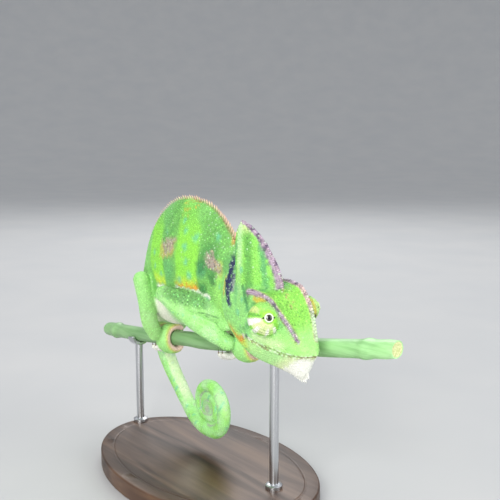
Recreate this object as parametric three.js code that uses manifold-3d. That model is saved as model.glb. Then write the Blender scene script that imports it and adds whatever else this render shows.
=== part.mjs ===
// A young veiled chameleon, life size, gripping a short green stem on a display stand.
// Units are millimetres, +Z is up, +X runs along the stem toward the head, +Y is the animal's left.
import * as THREE from 'three';
import { mergeVertices } from 'three/addons/utils/BufferGeometryUtils.js';
import Module from 'manifold-3d';

const wasm = await Module();
wasm.setup();

// ---- driving sizes --------------------------------------------------------
const GAP = 0.3;               // clearance left between neighbouring pieces
const STEM_R = 2.82;           // radius of the green stem
const STEM_REAR = -68;         // rear cut end of the stem
const STEM_FRONT = 84;         // front cut end of the stem
const BASE_X = 3;              // middle of the stand base under the animal
const BASE_Y = -3;
const BASE_TOP = -41.5;        // top face of the base, below the stem
const BASE_T = 6;              // thickness of the base
const BASE_LONG = 98;          // oval base, long and short axis
const BASE_WIDE = 62;
const ROD_R = 1.5;             // radius of the two rods
const ROD_REAR = -44;          // where the rods meet the stem
const ROD_FRONT = 36;
const BODY_LEAN = 8;           // sideways lean of the trunk, degrees
const HEAD_ROLL = 8;           // roll of the head toward its right side, degrees
const HEAD_AT = [20, -10, 8];  // origin of the head frame
const TURRET_R = 5.2;          // radius of an eye turret
const EYE_R = 2.2;             // radius of the visible eyeball
const GRIP_R = 4.5;            // middle radius of the toes around the stem
const TOE_T = 1.62;            // half thickness of the toes
const COIL_AT = [33.9, -25.3]; // middle of the tail coil, along and below in the tail plane
const COIL_SLIM = -0.22;        // the inner turns stay clear of the outer one
const COIL_TURNS = 2.2;        // turns from the lowest point to the tail tip
const TAIL_TURN = 5.5;         // yaw of the tail plane, degrees

const OFFSET = new THREE.Vector3(-BASE_X, -BASE_Y, BASE_T - BASE_TOP);
const RAD = Math.PI / 180;

// ---- small helpers ---------------------------------------------------------
const V = (x, y, z) => new THREE.Vector3(x, y, z);
const clamp = (v, a, b) => Math.min(b, Math.max(a, v));
const smooth = (a, b, v) => {
  const t = clamp((v - a) / (b - a), 0, 1);
  return t * t * (3 - 2 * t);
};

// A smooth curve through a few [x, value] pairs, flat beyond the ends.
function profile(pairs) {
  return (x) => {
    const n = pairs.length;
    if (x <= pairs[0][0]) return pairs[0][1];
    if (x >= pairs[n - 1][0]) return pairs[n - 1][1];
    let i = 0;
    while (x > pairs[i + 1][0]) i += 1;
    const slope = (k) => {
      const a = pairs[Math.max(k - 1, 0)];
      const b = pairs[Math.min(k + 1, n - 1)];
      return (b[1] - a[1]) / (b[0] - a[0]);
    };
    const h = pairs[i + 1][0] - pairs[i][0];
    const t = (x - pairs[i][0]) / h;
    const h00 = 2 * t ** 3 - 3 * t ** 2 + 1;
    const h10 = t ** 3 - 2 * t ** 2 + t;
    const h01 = 3 * t ** 2 - 2 * t ** 3;
    const h11 = t ** 3 - t ** 2;
    return h00 * pairs[i][1] + h10 * h * slope(i) + h01 * pairs[i + 1][1] + h11 * h * slope(i + 1);
  };
}

// Turns a closed three.js geometry into a solid, facing outward.
function solid(geometry) {
  const plain = new THREE.BufferGeometry();
  plain.setAttribute('position', geometry.getAttribute('position').clone());
  const count = geometry.getAttribute('position').count;
  const order = geometry.index ? Array.from(geometry.index.array) : [...Array(count).keys()];
  plain.setIndex(order);
  const merged = mergeVertices(plain, 1e-4);
  const pos = merged.getAttribute('position').array;
  const tri = Array.from(merged.index.array);
  const kept = [];
  let volume = 0;
  for (let i = 0; i < tri.length; i += 3) {
    const [a, b, c] = [tri[i], tri[i + 1], tri[i + 2]];
    if (a === b || b === c || c === a) continue;
    kept.push(a, b, c);
    const p = V().fromArray(pos, 3 * a);
    const q = V().fromArray(pos, 3 * b);
    const r = V().fromArray(pos, 3 * c);
    volume += p.dot(q.cross(r));
  }
  if (volume < 0) {
    for (let i = 0; i < kept.length; i += 3) [kept[i], kept[i + 1]] = [kept[i + 1], kept[i]];
  }
  return new wasm.Manifold(new wasm.Mesh({
    numProp: 3,
    vertProperties: new Float32Array(pos),
    triVerts: new Uint32Array(kept),
  }));
}

// A closed loft: a sphere's net laid over fn(t, angle); t = 0 and t = 1 are single points.
function loft(rows, cols, fn) {
  const net = new THREE.SphereGeometry(1, cols, rows);
  const pos = net.getAttribute('position');
  for (let i = 0; i <= rows; i += 1) {
    for (let j = 0; j <= cols; j += 1) {
      const p = fn(i / rows, (2 * Math.PI * (j % cols)) / cols);
      pos.setXYZ(i * (cols + 1) + j, p.x, p.y, p.z);
    }
  }
  return solid(net);
}

// A round-ended tube along a few points, with a radius at each, flattened across `flatDir` if asked.
function tube(points, radii, { rows = 8, cols = 10, grow = 0, flat = 1, ref = V(0, 1, 0) } = {}) {
  const curve = new THREE.CatmullRomCurve3(points, false, 'centripetal');
  const last = points.length - 1;
  const radiusAt = profile(radii.map((r, i) => [i / last, r]));
  const caps = 2;
  return loft(rows + 2 * caps, cols, (t, angle) => {
    const row = Math.round(t * (rows + 2 * caps));
    let s = (row - caps) / rows;
    let cap = 0;
    if (row < caps) cap = (caps - row) / caps;
    if (row > rows + caps) cap = (row - rows - caps) / caps;
    s = clamp(s, 0, 1);
    const p = curve.getPoint(s);
    const dir = curve.getTangent(s);
    const side = V().crossVectors(dir, ref).normalize();
    const up = V().crossVectors(side, dir).normalize();
    const r = radiusAt(s) + grow;
    const push = Math.sin((cap * Math.PI) / 2) * r * (row < caps ? -1 : 1);
    const ring = r * Math.cos((cap * Math.PI) / 2);
    const k = cap === 1 ? 0 : ring;
    return p.addScaledVector(dir, cap > 0 ? push : 0)
      .addScaledVector(side, k * Math.cos(angle) * flat)
      .addScaledVector(up, k * Math.sin(angle));
  });
}

// A cone spike standing at `at`, pointing along `dir`.
function spike(at, dir, height, radius, sides = 4) {
  const cone = new THREE.ConeGeometry(radius, height + 0.8, sides);
  cone.translate(0, (height + 0.8) / 2 - 0.8, 0);
  const turn = new THREE.Quaternion().setFromUnitVectors(V(0, 1, 0), dir.clone().normalize());
  cone.applyQuaternion(turn);
  cone.translate(at.x, at.y, at.z);
  return solid(cone);
}

function sphere(at, radius, cols = 12, rows = 8) {
  const ball = new THREE.SphereGeometry(radius, cols, rows);
  ball.translate(at.x, at.y, at.z);
  return solid(ball);
}

const join = (list) => list.reduce((a, b) => a.add(b));
const cut = (body, list) => list.reduce((a, b) => a.subtract(b), body);
function largest(body) {
  const parts = body.decompose();
  parts.sort((a, b) => b.volume() - a.volume());
  return parts[0];
}

// ---- stem -------------------------------------------------------------------
const stemZ = profile([[-80, -9.0], [-51, -6.3], [-28, -3.6], [-9, -0.7], [0, 0.1], [22, 3.7],
  [57, 9.6], [90, 15.8]]);
const stemY = profile([[-80, 0], [20, 0], [45, 1.2], [90, 2.2]]);
const stemAt = (x) => V(x, stemY(x), stemZ(x));

// Straight-cut round stem with one leaf node, swollen like a bamboo joint.
function stemSolid(grow = 0) {
  const stops = [0, 6, 7.5, 8.5, 10, 28, 42, 58, 76, 100, 126, 140, 141.5, 142.5, 144, 152];
  const rows = stops.length + 1;
  const cols = 12;
  return loft(rows, cols, (t, angle) => {
    const stop = stops[clamp(Math.round(t * rows) - 1, 0, stops.length - 1)];
    const x = STEM_REAR + stop + (stop === 0 ? -grow : 0) + (stop === 152 ? grow : 0);
    const node = 0.55 * Math.exp(-(((x + 60) / 1.6) ** 2)) + 0.4 * Math.exp(-(((x - 74) / 1.8) ** 2));
    const r = t === 0 || t === 1 ? 0 : STEM_R + node + grow;
    return stemAt(x).add(V(0, r * Math.cos(angle), r * Math.sin(angle)));
  });
}

// ---- stand ------------------------------------------------------------------
function baseSolid() {
  const oval = new THREE.Shape();
  oval.absellipse(0, 0, BASE_LONG / 2 - 1.2, BASE_WIDE / 2 - 1.2, 0, 2 * Math.PI);
  const plate = new THREE.ExtrudeGeometry(oval, {
    depth: BASE_T - 2.4, bevelThickness: 1.2, bevelSize: 1.2, bevelSegments: 1, curveSegments: 16,
  });
  plate.translate(BASE_X, BASE_Y, BASE_TOP - BASE_T + 1.2);
  return solid(plate);
}

// A rod up from the base with a half collar that cradles the stem.
function rodSolid(x) {
  const top = stemAt(x);
  const foot = BASE_TOP + GAP;
  const length = top.z - STEM_R - 0.9 - foot;
  const rod = new THREE.CylinderGeometry(ROD_R, ROD_R, length, 10);
  rod.rotateX(Math.PI / 2);
  rod.translate(top.x, top.y, foot + length / 2);
  const band = new THREE.Shape();
  band.absarc(0, 0, STEM_R + 1.5, 190 * RAD, 350 * RAD, false);
  band.absarc(0, 0, STEM_R + GAP, 350 * RAD, 190 * RAD, true);
  const collar = new THREE.ExtrudeGeometry(band, { depth: 4, bevelEnabled: false, curveSegments: 6 });
  collar.translate(0, 0, -2);
  collar.rotateX(Math.PI / 2);
  collar.rotateZ(Math.PI / 2);
  const slope = Math.atan2(stemZ(x + 3) - stemZ(x - 3), 6);
  collar.rotateY(-slope);
  collar.translate(top.x, top.y, top.z);
  return cut(solid(rod).add(solid(collar)), [stemSolid(GAP)]);
}

// ---- trunk ------------------------------------------------------------------
const leanUp = V(0, -Math.sin(BODY_LEAN * RAD), Math.cos(BODY_LEAN * RAD));
const leanSide = V(0, Math.cos(BODY_LEAN * RAD), Math.sin(BODY_LEAN * RAD));
const leanAt = (a, c) => V(a, -1 - 3.2 * smooth(14, 34, a), 8).addScaledVector(leanUp, c);

const ridge = new THREE.CatmullRomCurve3([V(32, 0, 25), V(28, 0, 31), V(20.9, 0, 37.4), V(11.4, 0, 42.5),
  V(-0.5, 0, 43.6), V(-12, 0, 40.2), V(-22.4, 0, 32.1), V(-29.1, 0, 22), V(-31.3, 0, 15.5),
  V(-33.6, 0, 8.5)], false, 'centripetal');
const belly = new THREE.CatmullRomCurve3([V(32.5, 0, 3.6), V(26, 0, 3.0), V(17, 0, 2.2), V(8, 0, 0.8),
  V(0, 0, -1.2), V(-8, 0, -2.9), V(-16, 0, -3.9), V(-23, 0, -2.4), V(-29, 0, 0.6),
  V(-33.5, 0, 4.2)], false, 'centripetal');
const bodyWide = profile([[0, 6.6], [0.12, 8.2], [0.3, 9.6], [0.48, 10], [0.66, 8.6], [0.82, 5.9],
  [1, 4.0]]);

// Leaf-shaped section: full low on the flank, thin along the back.
function trunkPoint(s, angle, grow) {
  const t = ridge.getPoint(s);
  const b = belly.getPoint(s);
  const mid = t.clone().add(b).multiplyScalar(0.5);
  const half = t.clone().sub(b).multiplyScalar(0.5);
  const u = Math.cos(angle);
  const h = half.length() + grow;
  half.setLength(h);
  const wide = (bodyWide(s) + grow) * Math.sin(angle) * (1 - 0.36 * u - 0.2 * u * u);
  const at = mid.addScaledVector(half, u);
  return leanAt(at.x, at.z).addScaledVector(leanSide, wide);
}

function trunkSolid(grow = 0, spikes = false) {
  const rows = 16;
  const cols = 18;
  const shell = loft(rows, cols, (t, angle) => {
    if (t === 0 || t === 1) {
      const end = trunkPoint(t, 0, 0).add(trunkPoint(t, Math.PI, 0)).multiplyScalar(0.5);
      return end.add(V(t === 0 ? 1.5 + grow : -1.2 - grow, 0, 0));
    }
    return trunkPoint((Math.round(t * rows) - 1) / (rows - 2), angle, grow);
  });
  if (!spikes) return shell;
  const cones = [];
  const count = 18;
  for (let i = 0; i < count; i += 1) {
    const s = 0.1 + (0.5 * i) / (count - 1);
    const at = trunkPoint(s, 0, 0);
    const next = trunkPoint(s + 0.01, 0, 0);
    const along = next.sub(at).normalize();
    const out = V().crossVectors(along, leanSide).normalize();
    if (out.z < 0) out.negate();
    out.addScaledVector(along, 0.35).normalize();
    const tall = 1.3 - 0.85 * smooth(0.15, 0.6, s);
    cones.push(spike(at, out, tall, 0.7, 4));
  }
  return join([shell, ...cones]);
}

// ---- head -------------------------------------------------------------------
const rollUp = V(0, -Math.sin(HEAD_ROLL * RAD), Math.cos(HEAD_ROLL * RAD));
const rollSide = V(0, Math.cos(HEAD_ROLL * RAD), Math.sin(HEAD_ROLL * RAD));
const headAt = (a, b, c) => V(...HEAD_AT).addScaledVector(V(1, 0, 0), a)
  .addScaledVector(rollSide, b).addScaledVector(rollUp, c);

// Half section of the head at station a, from the crown over crest, cheek and lip to the throat.
const crown = profile([[15, 17], [22, 20.5], [34.5, 20.3], [38, 17.2], [42.4, 10.0], [45, 5.9],
  [46.2, 4.4]]);
const crestB = profile([[15, 3.6], [20, 4.8], [27, 5.7], [31, 6.1], [37.6, 5.9], [41, 4.9],
  [43.8, 2.8], [46.2, 0.5]]);
const crestC = profile([[15, 14.5], [20, 19], [26, 21.6], [35.4, 20.9], [38, 18.8], [41.3, 13.2], [44, 7.2],
  [46.2, 4.5]]);
const cheekB = profile([[15, 5.0], [20, 6.6], [25, 7.4], [33, 6.5], [38, 5.9], [41, 5.1], [43.5, 3.6],
  [46.2, 0.6]]);
const cheekC = profile([[15, 10.5], [20, 13], [28, 14], [38, 11.6], [43.5, 6.3], [46.2, 4.1]]);
const lipB = profile([[15, 4.8], [20, 6.6], [25, 7.8], [28, 7.9], [33, 7.5], [38, 6.3], [42, 4.6],
  [44.5, 2.8], [46.2, 0.6]]);
const lipC = profile([[15, 7.5], [24, 7.8], [33, 6.0], [42, 4.1], [46.2, 3.6]]);
const jawB = profile([[15, 4.2], [20, 5.6], [26, 6.5], [33, 5.2], [38, 3.8], [42, 2.7], [44.4, 1.7],
  [46.2, 0.4]]);
const jawC = profile([[15, 3.4], [24, 1.6], [33, -0.1], [38, -0.8], [42, 0.6], [44.4, 2.2], [46.2, 3.3]]);
const throat = profile([[15, 1.4], [24, -2.1], [33, -3.8], [37.5, -4.9], [39.6, -5.3], [41, -4.0],
  [42.3, -2.4], [43.8, 0.2], [45.4, 2.7], [46.2, 3.2]]);

function headSection(a, k) {
  const pts = [[0, crown(a)], [crestB(a) * 0.62, (crown(a) + crestC(a)) / 2 - 0.25], [crestB(a), crestC(a)],
    [(crestB(a) + cheekB(a)) / 2, (crestC(a) * 0.55 + cheekC(a) * 0.45)], [cheekB(a), cheekC(a)],
    [lipB(a), lipC(a)], [jawB(a), jawC(a)], [jawB(a) * 0.5, (jawC(a) * 0.25 + throat(a) * 0.75)],
    [0, throat(a)]];
  const line = new THREE.SplineCurve(pts.map((p) => new THREE.Vector2(p[0], p[1])));
  return line.getPoint(k);
}

function headSolid(grow = 0) {
  const rows = 14;
  const cols = 20;
  const from = 15.5;
  const to = 46.0;
  return loft(rows, cols, (t, angle) => {
    const step = clamp(Math.round(t * rows) - 1, 0, rows - 2) / (rows - 2);
    const a = from + (to - from) * (1 - (1 - step) ** 1.35);
    const turn = angle <= Math.PI ? angle / Math.PI : 2 - angle / Math.PI;
    const side = angle <= Math.PI ? 1 : -1;
    if (t === 0) return headAt(a - 1.2 - grow, 0, 11);
    if (t === 1) return headAt(to + 0.35 + grow, 0, (crown(to) + throat(to)) / 2);
    const p = headSection(a, turn);
    const mid = (crown(a) + throat(a)) / 2;
    const out = new THREE.Vector2(p.x, p.y - mid);
    const len = out.length() || 1;
    const q = out.multiplyScalar((len + grow) / len);
    return headAt(a, side * q.x, mid + q.y);
  });
}

// The casque: a tall helmet with a thin front crest and a rounded rear.
const casqueRear = profile([[15, 16.5], [24, 16.6], [31, 16.5], [36, 17.1], [39.6, 19.3]]);
const casqueFront = profile([[15, 35.5], [20.4, 34.9], [23.8, 34.7], [27.1, 33.6], [31, 31.3], [34.8, 28.5],
  [38, 24.2], [39.7, 20.6]]);
const casqueWide = profile([[15, 7.0], [20, 6.9], [24, 6.2], [30, 4.5], [36, 2.5], [39.6, 1.0]]);

function casquePoint(c, angle, grow) {
  const front = casqueFront(c) + grow;
  const rear = casqueRear(c) - grow;
  const u = Math.cos(angle);
  const a = (front + rear) / 2 + ((front - rear) / 2) * u;
  const thin = 0.26 + 0.74 * Math.sin(angle / 2) ** 1.6;
  const wide = casqueWide(c) + grow;
  return headAt(a, wide * Math.sin(angle) * thin * 1.12, c);
}

function casqueSolid(grow = 0) {
  const rows = 10;
  const cols = 16;
  return loft(rows, cols, (t, angle) => {
    if (t === 0) return headAt(26, 0, 15.5 - grow);
    if (t === 1) return headAt(20.0, 0, 40.0 + grow);
    const step = (Math.round(t * rows) - 1) / (rows - 2);
    return casquePoint(16 + (39.5 + 0.6 * grow - 16) * step ** 0.92, angle, grow);
  });
}

// Eye turrets: a lidded dome that narrows toward the pupil.
const turretAt = (side) => headAt(33.3, side * 6.6, side < 0 ? 13.8 : 12.4);
const gaze = { right: V(0.84, -0.48, 0.26).normalize(), left: V(0.5, 0.84, 0.2).normalize() };
const sideName = (side) => (side < 0 ? 'right' : 'left');

function turretSolid(side, grow = 0) {
  const aim = gaze[sideName(side)];
  const at = turretAt(side);
  const up = V(0, 0, 1);
  const across = V().crossVectors(aim, up).normalize();
  const top = V().crossVectors(across, aim).normalize();
  return loft(9, 11, (t, angle) => {
    const polar = Math.PI * t;
    const nose = 1.15 * Math.exp(-((polar / 0.62) ** 2));
    const r = TURRET_R + grow + nose;
    return at.clone().addScaledVector(aim, r * Math.cos(polar))
      .addScaledVector(across, r * Math.sin(polar) * Math.cos(angle))
      .addScaledVector(top, r * Math.sin(polar) * Math.sin(angle) * 0.97);
  });
}
const eyeAt = (side) => turretAt(side).addScaledVector(gaze[sideName(side)], TURRET_R + 1.05 - EYE_R);

// Lower jaw region: a tilted box under the line of the mouth.
function jawBox(grow) {
  const box = new THREE.BoxGeometry(40, 30, 20);
  box.translate(20 - grow, 0, -10 + grow);
  box.rotateY(Math.atan(0.225));
  const m = new THREE.Matrix4().makeBasis(V(1, 0, 0), rollSide, rollUp);
  box.applyMatrix4(m);
  const at = headAt(26.6, 0, 6.95);
  box.translate(at.x, at.y, at.z);
  return solid(box);
}

function gularSpikes() {
  const cones = [];
  for (let i = 0; i < 13; i += 1) {
    const a = 28 + (13.4 * i) / 12;
    const lean = a > 40.5 ? 0.9 : 0.1;
    const at = headAt(a, 0, throat(a) + 0.1);
    const dir = rollUp.clone().multiplyScalar(-1).addScaledVector(V(1, 0, 0), lean);
    cones.push(spike(at, dir, 0.7, 0.6, 4));
  }
  return cones;
}

// ---- neck -------------------------------------------------------------------
const nape = new THREE.CatmullRomCurve3([V(21, -7.0, 40), V(26, -8.2, 37.5), V(30, -10, 34.6),
  V(34, -12.6, 32), V(39, -13.8, 30)], false, 'centripetal');
const gorge = new THREE.CatmullRomCurve3([V(24, -3.5, 11.6), V(29, -5.2, 11.4), V(34, -8, 9.8),
  V(38, -9.6, 8.4), V(43, -10, 8.2)], false, 'centripetal');
const neckWide = profile([[0, 6.4], [0.35, 6.6], [0.65, 6.9], [1, 6.6]]);

function neckSolid(grow = 0) {
  const rows = 7;
  const cols = 12;
  return loft(rows, cols, (t, angle) => {
    const s = clamp(Math.round(t * rows) - 1, 0, rows - 2) / (rows - 2);
    const top = nape.getPoint(s);
    const low = gorge.getPoint(s);
    const mid = top.clone().add(low).multiplyScalar(0.5);
    if (t === 0 || t === 1) return mid.add(V(t === 0 ? -1 - grow : 1 + grow, 0, 0));
    const half = top.clone().sub(mid);
    half.setLength(half.length() + grow);
    const yaw = 0.5 * Math.sin(Math.PI * s);
    const across = V(Math.sin(yaw), Math.cos(yaw), 0);
    const u = Math.cos(angle);
    const wide = (neckWide(s) + grow) * Math.sin(angle) * (1 - 0.22 * u);
    return mid.addScaledVector(half, u).addScaledVector(across, wide);
  });
}

// ---- tail -------------------------------------------------------------------
const tailDir = V(Math.cos(TAIL_TURN * RAD), -Math.sin(TAIL_TURN * RAD), 0);
const tailAt = (a, c) => V(-35, 6.3, c).addScaledVector(tailDir, a);

const coilRadius = profile([[0, 8.3], [0.25, 9.3], [0.5, 8.4], [0.75, 6.9], [1, 3.6], [1.25, 4.8],
  [1.5, 4.25], [1.75, 3.2], [2, 0.6], [2.2, 1.7]]);

const tailLine = (() => {
  const pts = [V(-29, -2.2, 17), V(-33.6, -0.8, 14), V(-36.6, 2.6, 8), V(-37.4, 5.8, 1.5), tailAt(-1.8, -5),
    tailAt(0.6, -11.6), tailAt(5.8, -17.7), tailAt(11.4, -22.5), tailAt(16.7, -27), tailAt(22, -31),
    tailAt(27.5, -33.2)];
  const steps = 24;
  for (let i = 0; i <= steps; i += 1) {
    const w = COIL_TURNS * (i / steps);
    const r = coilRadius(w);
    const phi = (-92 + 360 * w) * RAD;
    pts.push(tailAt(COIL_AT[0] + r * Math.cos(phi), COIL_AT[1] + r * Math.sin(phi)));
  }
  return new THREE.CatmullRomCurve3(pts, false, 'centripetal');
})();
const TAIL_KNOTS = tailLine.points.length - 1;
const tailRadius = profile([[0, 5.4], [1, 5.0], [2, 4.3], [3, 3.9], [4, 3.65], [6, 3.15], [8, 2.85],
  [11, 2.75], [13.7, 2.55], [16.5, 2.35], [19.2, 2.1], [21.9, 1.85], [24.6, 1.8], [27.4, 1.65],
  [30.1, 1.45], [32.8, 1.1], [TAIL_KNOTS, 0.75]].map(([k, r]) => [k / TAIL_KNOTS, r]));

function tailSolid(k0, k1, rows, grow = 0) {
  const s0 = k0 / TAIL_KNOTS;
  const s1 = k1 / TAIL_KNOTS;
  const points = [];
  const radii = [];
  const count = 2 * Math.round(k1 - k0) + 1;
  for (let i = 0; i < count; i += 1) {
    const s = s0 + ((s1 - s0) * i) / (count - 1);
    points.push(tailLine.getPoint(s));
    radii.push(tailRadius(s));
  }
  return tube(points, radii, { rows, cols: 9, grow });
}

// ---- limbs ------------------------------------------------------------------
// Each foot is a mitten of two toe bundles that close round the stem like a clamp.
function footSolid(x, side, { wide = 3.8, reach = 131, grow = 0, claws = true } = {}) {
  const at = stemAt(x);
  const slope = Math.atan2(stemZ(x + 3) - stemZ(x - 3), 6);
  const along = V(Math.cos(slope), 0, Math.sin(slope));
  const up = V(-Math.sin(slope), 0, Math.cos(slope));
  const out = V(0, side, 0);
  const ring = (deg, r) => at.clone().addScaledVector(out, r * Math.cos(deg * RAD))
    .addScaledVector(up, r * Math.sin(deg * RAD));
  const rows = 10;
  const clampBody = loft(rows, 8, (t, angle) => {
    const deg = -reach + 2 * reach * t;
    const end = Math.sqrt(Math.max(0, 1 - Math.abs(2 * t - 1) ** 5));
    const thick = (TOE_T + grow) * end * (1 + 0.32 * Math.cos((deg * Math.PI) / 180) ** 2);
    const broad = (wide + grow) * end * (1 - 0.2 * Math.abs(2 * t - 1));
    const grown = (2 * t - 1) * (grow / GRIP_R / RAD);
    const centre = GRIP_R + 0.35 * Math.cos(deg * RAD) ** 2;
    const radial = V().subVectors(ring(deg, 1), at);
    return ring(deg + grown, centre).addScaledVector(radial, thick * Math.cos(angle))
      .addScaledVector(along, broad * Math.sin(angle));
  });
  if (!claws) return clampBody;
  const parts = [clampBody];
  for (const end of [-1, 1]) {
    const n = end > 0 ? 3 : 2;
    for (let i = 0; i < n; i += 1) {
      const shift = (i - (n - 1) / 2) * 1.9;
      const deg = end * (reach - 9);
      const root = ring(deg, GRIP_R + 0.1).addScaledVector(along, shift);
      const dir = V().subVectors(ring(deg + end * 30, GRIP_R - 0.4), ring(deg, GRIP_R));
      parts.push(spike(root, dir, 2.6, 0.6, 4));
    }
  }
  return join(parts);
}

const limbs = [
  { name: 'right', side: -1, hand: 24.9, foot: -19.5,
    upperArm: [V(21, -8, 16.2), V(10.4, -13.8, 18), V(-0.2, -17, 19.6)],
    forearm: [V(-0.2, -17, 19.6), V(9.4, -14.6, 14.3), V(17.4, -12, 10), V(23.6, -8.2, 5.8)],
    thigh: [V(-27, -3.5, 10), V(-22, -9.5, 17), V(-16.9, -15.2, 22)],
    shin: [V(-16.9, -15.2, 22), V(-17, -13.3, 14.2), V(-19.1, -10.6, 5.5), V(-20, -7.8, 0.4)] },
  { name: 'left', side: 1, hand: 12.5, foot: -28.5,
    upperArm: [V(20, 3.5, 16.6), V(10, 9.8, 17.6), V(-3, 13.6, 17.5)],
    forearm: [V(-3, 13.6, 17.5), V(3, 12.6, 12), V(9, 10.8, 7.4), V(12.5, 8.2, 4.2)],
    thigh: [V(-28, 1.5, 10), V(-24, 7, 15), V(-20.5, 12.6, 19.5)],
    shin: [V(-20.5, 12.6, 19.5), V(-22, 11.8, 12), V(-26, 10, 4), V(-28.6, 7.8, -1)] },
];
const UPPER_R = [5.1, 3.9, 2.9];
const LOWER_R = [2.95, 3.45, 3.3, 2.7];
const THIGH_R = [4.2, 3.5, 3.05];
const SHIN_R = [3.1, 3.15, 3.15, 2.8];
const limbTube = (points, radii, grow) => tube(points, radii,
  { rows: 5, cols: 8, grow, ref: V(0.3, 1, 0.2).normalize() });

// ---- assembly: every later piece is cut back from its earlier neighbours ------
const pieces = [];
const add = (name, body, colour, roughness = 0.75) => {
  pieces.push({ name, body: largest(body), colour, roughness });
};

const LIME = 0x8fcf5a;
const MINT = 0x9fdc84;
const stem = stemSolid();
const stemGrown = stemSolid(GAP);
add('perch_stem', stem, 0x5f9a52, 0.6);
add('stand_base', baseSolid(), 0x2b2723, 0.55);
add('stand_rod_rear', rodSolid(ROD_REAR), 0xb9bcc0, 0.35);
add('stand_rod_front', rodSolid(ROD_FRONT), 0xb9bcc0, 0.35);

const feet = {};
for (const limb of limbs) {
  for (const [part, x] of [['forefoot', limb.hand], ['hindfoot', limb.foot]]) {
    const key = `${limb.name}_${part}`;
    feet[key] = footSolid(x, limb.side, { grow: GAP, claws: false });
    add(key, cut(footSolid(x, limb.side), [stemGrown]), 0xa6dc82);
  }
}
const allFeet = Object.values(feet);

const trunkGrown = trunkSolid(GAP);
add('trunk', cut(trunkSolid(0, true), [stemGrown, ...allFeet]), LIME);

const turrets = [-1, 1].map((side) => turretSolid(side, GAP));
const headFull = headSolid();
const headGrown = headSolid(GAP);
const casqueGrown = casqueSolid(GAP);
add('lower_jaw', cut(join([headFull.intersect(jawBox(-GAP / 2)), ...gularSpikes()]),
  [stemGrown, ...turrets, ...allFeet, jawBox(GAP / 2).subtract(jawBox(-GAP / 2))]), 0xcfe9a0);
const headNear = [jawBox(GAP / 2), stemGrown, ...turrets, casqueGrown, ...allFeet, trunkGrown];
add('head', cut(headFull, headNear), 0x8ed65c);
add('casque', cut(casqueSolid(), turrets), 0x95d46a);
for (const side of [-1, 1]) {
  const name = sideName(side);
  const pit = sphere(eyeAt(side), EYE_R + GAP, 9, 6);
  add(`eye_turret_${name}`, cut(turretSolid(side), [pit]), 0xc9e79a);
  add(`eyeball_${name}`, sphere(eyeAt(side), EYE_R, 8, 6), 0x1a1512, 0.15);
}

add('neck', cut(neckSolid(), [trunkGrown, headGrown, casqueGrown, stemGrown, ...allFeet]), 0x6fae5c);

const tailParts = [['tail_base', 0.4, 5, 8], ['tail_middle', 5, 10.5, 8], ['tail_coil_outer', 10.5, 22, 15],
  ['tail_coil_inner', 22, TAIL_KNOTS, 12]];
const tailDone = [trunkGrown, stemGrown, ...allFeet];
for (const [name, k0, k1, rows] of tailParts) {
  const slim = name === 'tail_coil_inner' ? COIL_SLIM : 0;
  add(name, cut(tailSolid(k0, k1, rows, slim), tailDone), MINT);
  tailDone.push(tailSolid(k0, k1, rows, GAP));
}

const done = [...tailDone, neckSolid(GAP)];
for (const limb of limbs) {
  const parts = [['upper_arm', limb.upperArm, UPPER_R], ['forearm', limb.forearm, LOWER_R],
    ['thigh', limb.thigh, THIGH_R], ['shin', limb.shin, SHIN_R]];
  for (const [part, points, radii] of parts) {
    add(`${limb.name}_${part}`, cut(limbTube(points, radii, 0), done), 0x97da74);
    done.push(limbTube(points, radii, GAP));
  }
}

// ---- export -----------------------------------------------------------------
const group = new THREE.Group();
group.name = 'veiled_chameleon';
for (const { name, body, colour, roughness } of pieces) {
  const mesh = body.getMesh();
  const geometry = new THREE.BufferGeometry();
  geometry.setAttribute('position', new THREE.BufferAttribute(new Float32Array(mesh.vertProperties), 3));
  geometry.setIndex(new THREE.BufferAttribute(new Uint32Array(mesh.triVerts), 1));
  geometry.translate(OFFSET.x, OFFSET.y, OFFSET.z);
  const metal = name.startsWith('stand_rod') ? 1 : 0;
  const material = new THREE.MeshStandardMaterial({ color: colour, roughness, metalness: metal });
  const node = new THREE.Mesh(geometry, material);
  node.name = name;
  group.add(node);
}

export default group;
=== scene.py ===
"""A young veiled chameleon on a cut stem and a display stand: skin, scales, eyes, stem, stand and studio."""

import math

import bmesh
import bpy
import numpy as np
from mathutils import Matrix, Vector
from mathutils.bvhtree import BVHTree
from mathutils.kdtree import KDTree


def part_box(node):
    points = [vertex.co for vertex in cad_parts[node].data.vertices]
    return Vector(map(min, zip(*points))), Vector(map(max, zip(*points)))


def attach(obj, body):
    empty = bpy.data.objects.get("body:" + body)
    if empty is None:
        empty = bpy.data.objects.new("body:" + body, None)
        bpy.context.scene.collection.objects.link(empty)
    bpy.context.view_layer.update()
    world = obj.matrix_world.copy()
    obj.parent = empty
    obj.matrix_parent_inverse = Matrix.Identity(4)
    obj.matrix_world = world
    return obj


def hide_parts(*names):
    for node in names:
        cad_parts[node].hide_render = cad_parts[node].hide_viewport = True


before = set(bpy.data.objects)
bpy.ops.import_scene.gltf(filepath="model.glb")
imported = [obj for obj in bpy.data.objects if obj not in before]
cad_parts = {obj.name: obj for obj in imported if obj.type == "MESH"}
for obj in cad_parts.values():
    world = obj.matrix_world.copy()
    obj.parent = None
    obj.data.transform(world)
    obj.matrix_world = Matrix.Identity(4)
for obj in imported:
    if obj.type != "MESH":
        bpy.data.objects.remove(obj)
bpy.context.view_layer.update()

# ---- sizes, in millimetres, in the stem's own frame ------------------------------
# The stem's frame has its zero on the stem's axis; ORIGIN is that point in the model's frame.
MM = 0.001
RAD = math.pi / 180
BASE_TOP = -41.5                      # top of the stand base below the stem's axis
base_low, base_high = (np.array(corner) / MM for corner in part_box("stand_base"))
ORIGIN = np.array([-3.0, 3.0, base_high[2] - BASE_TOP])

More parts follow.
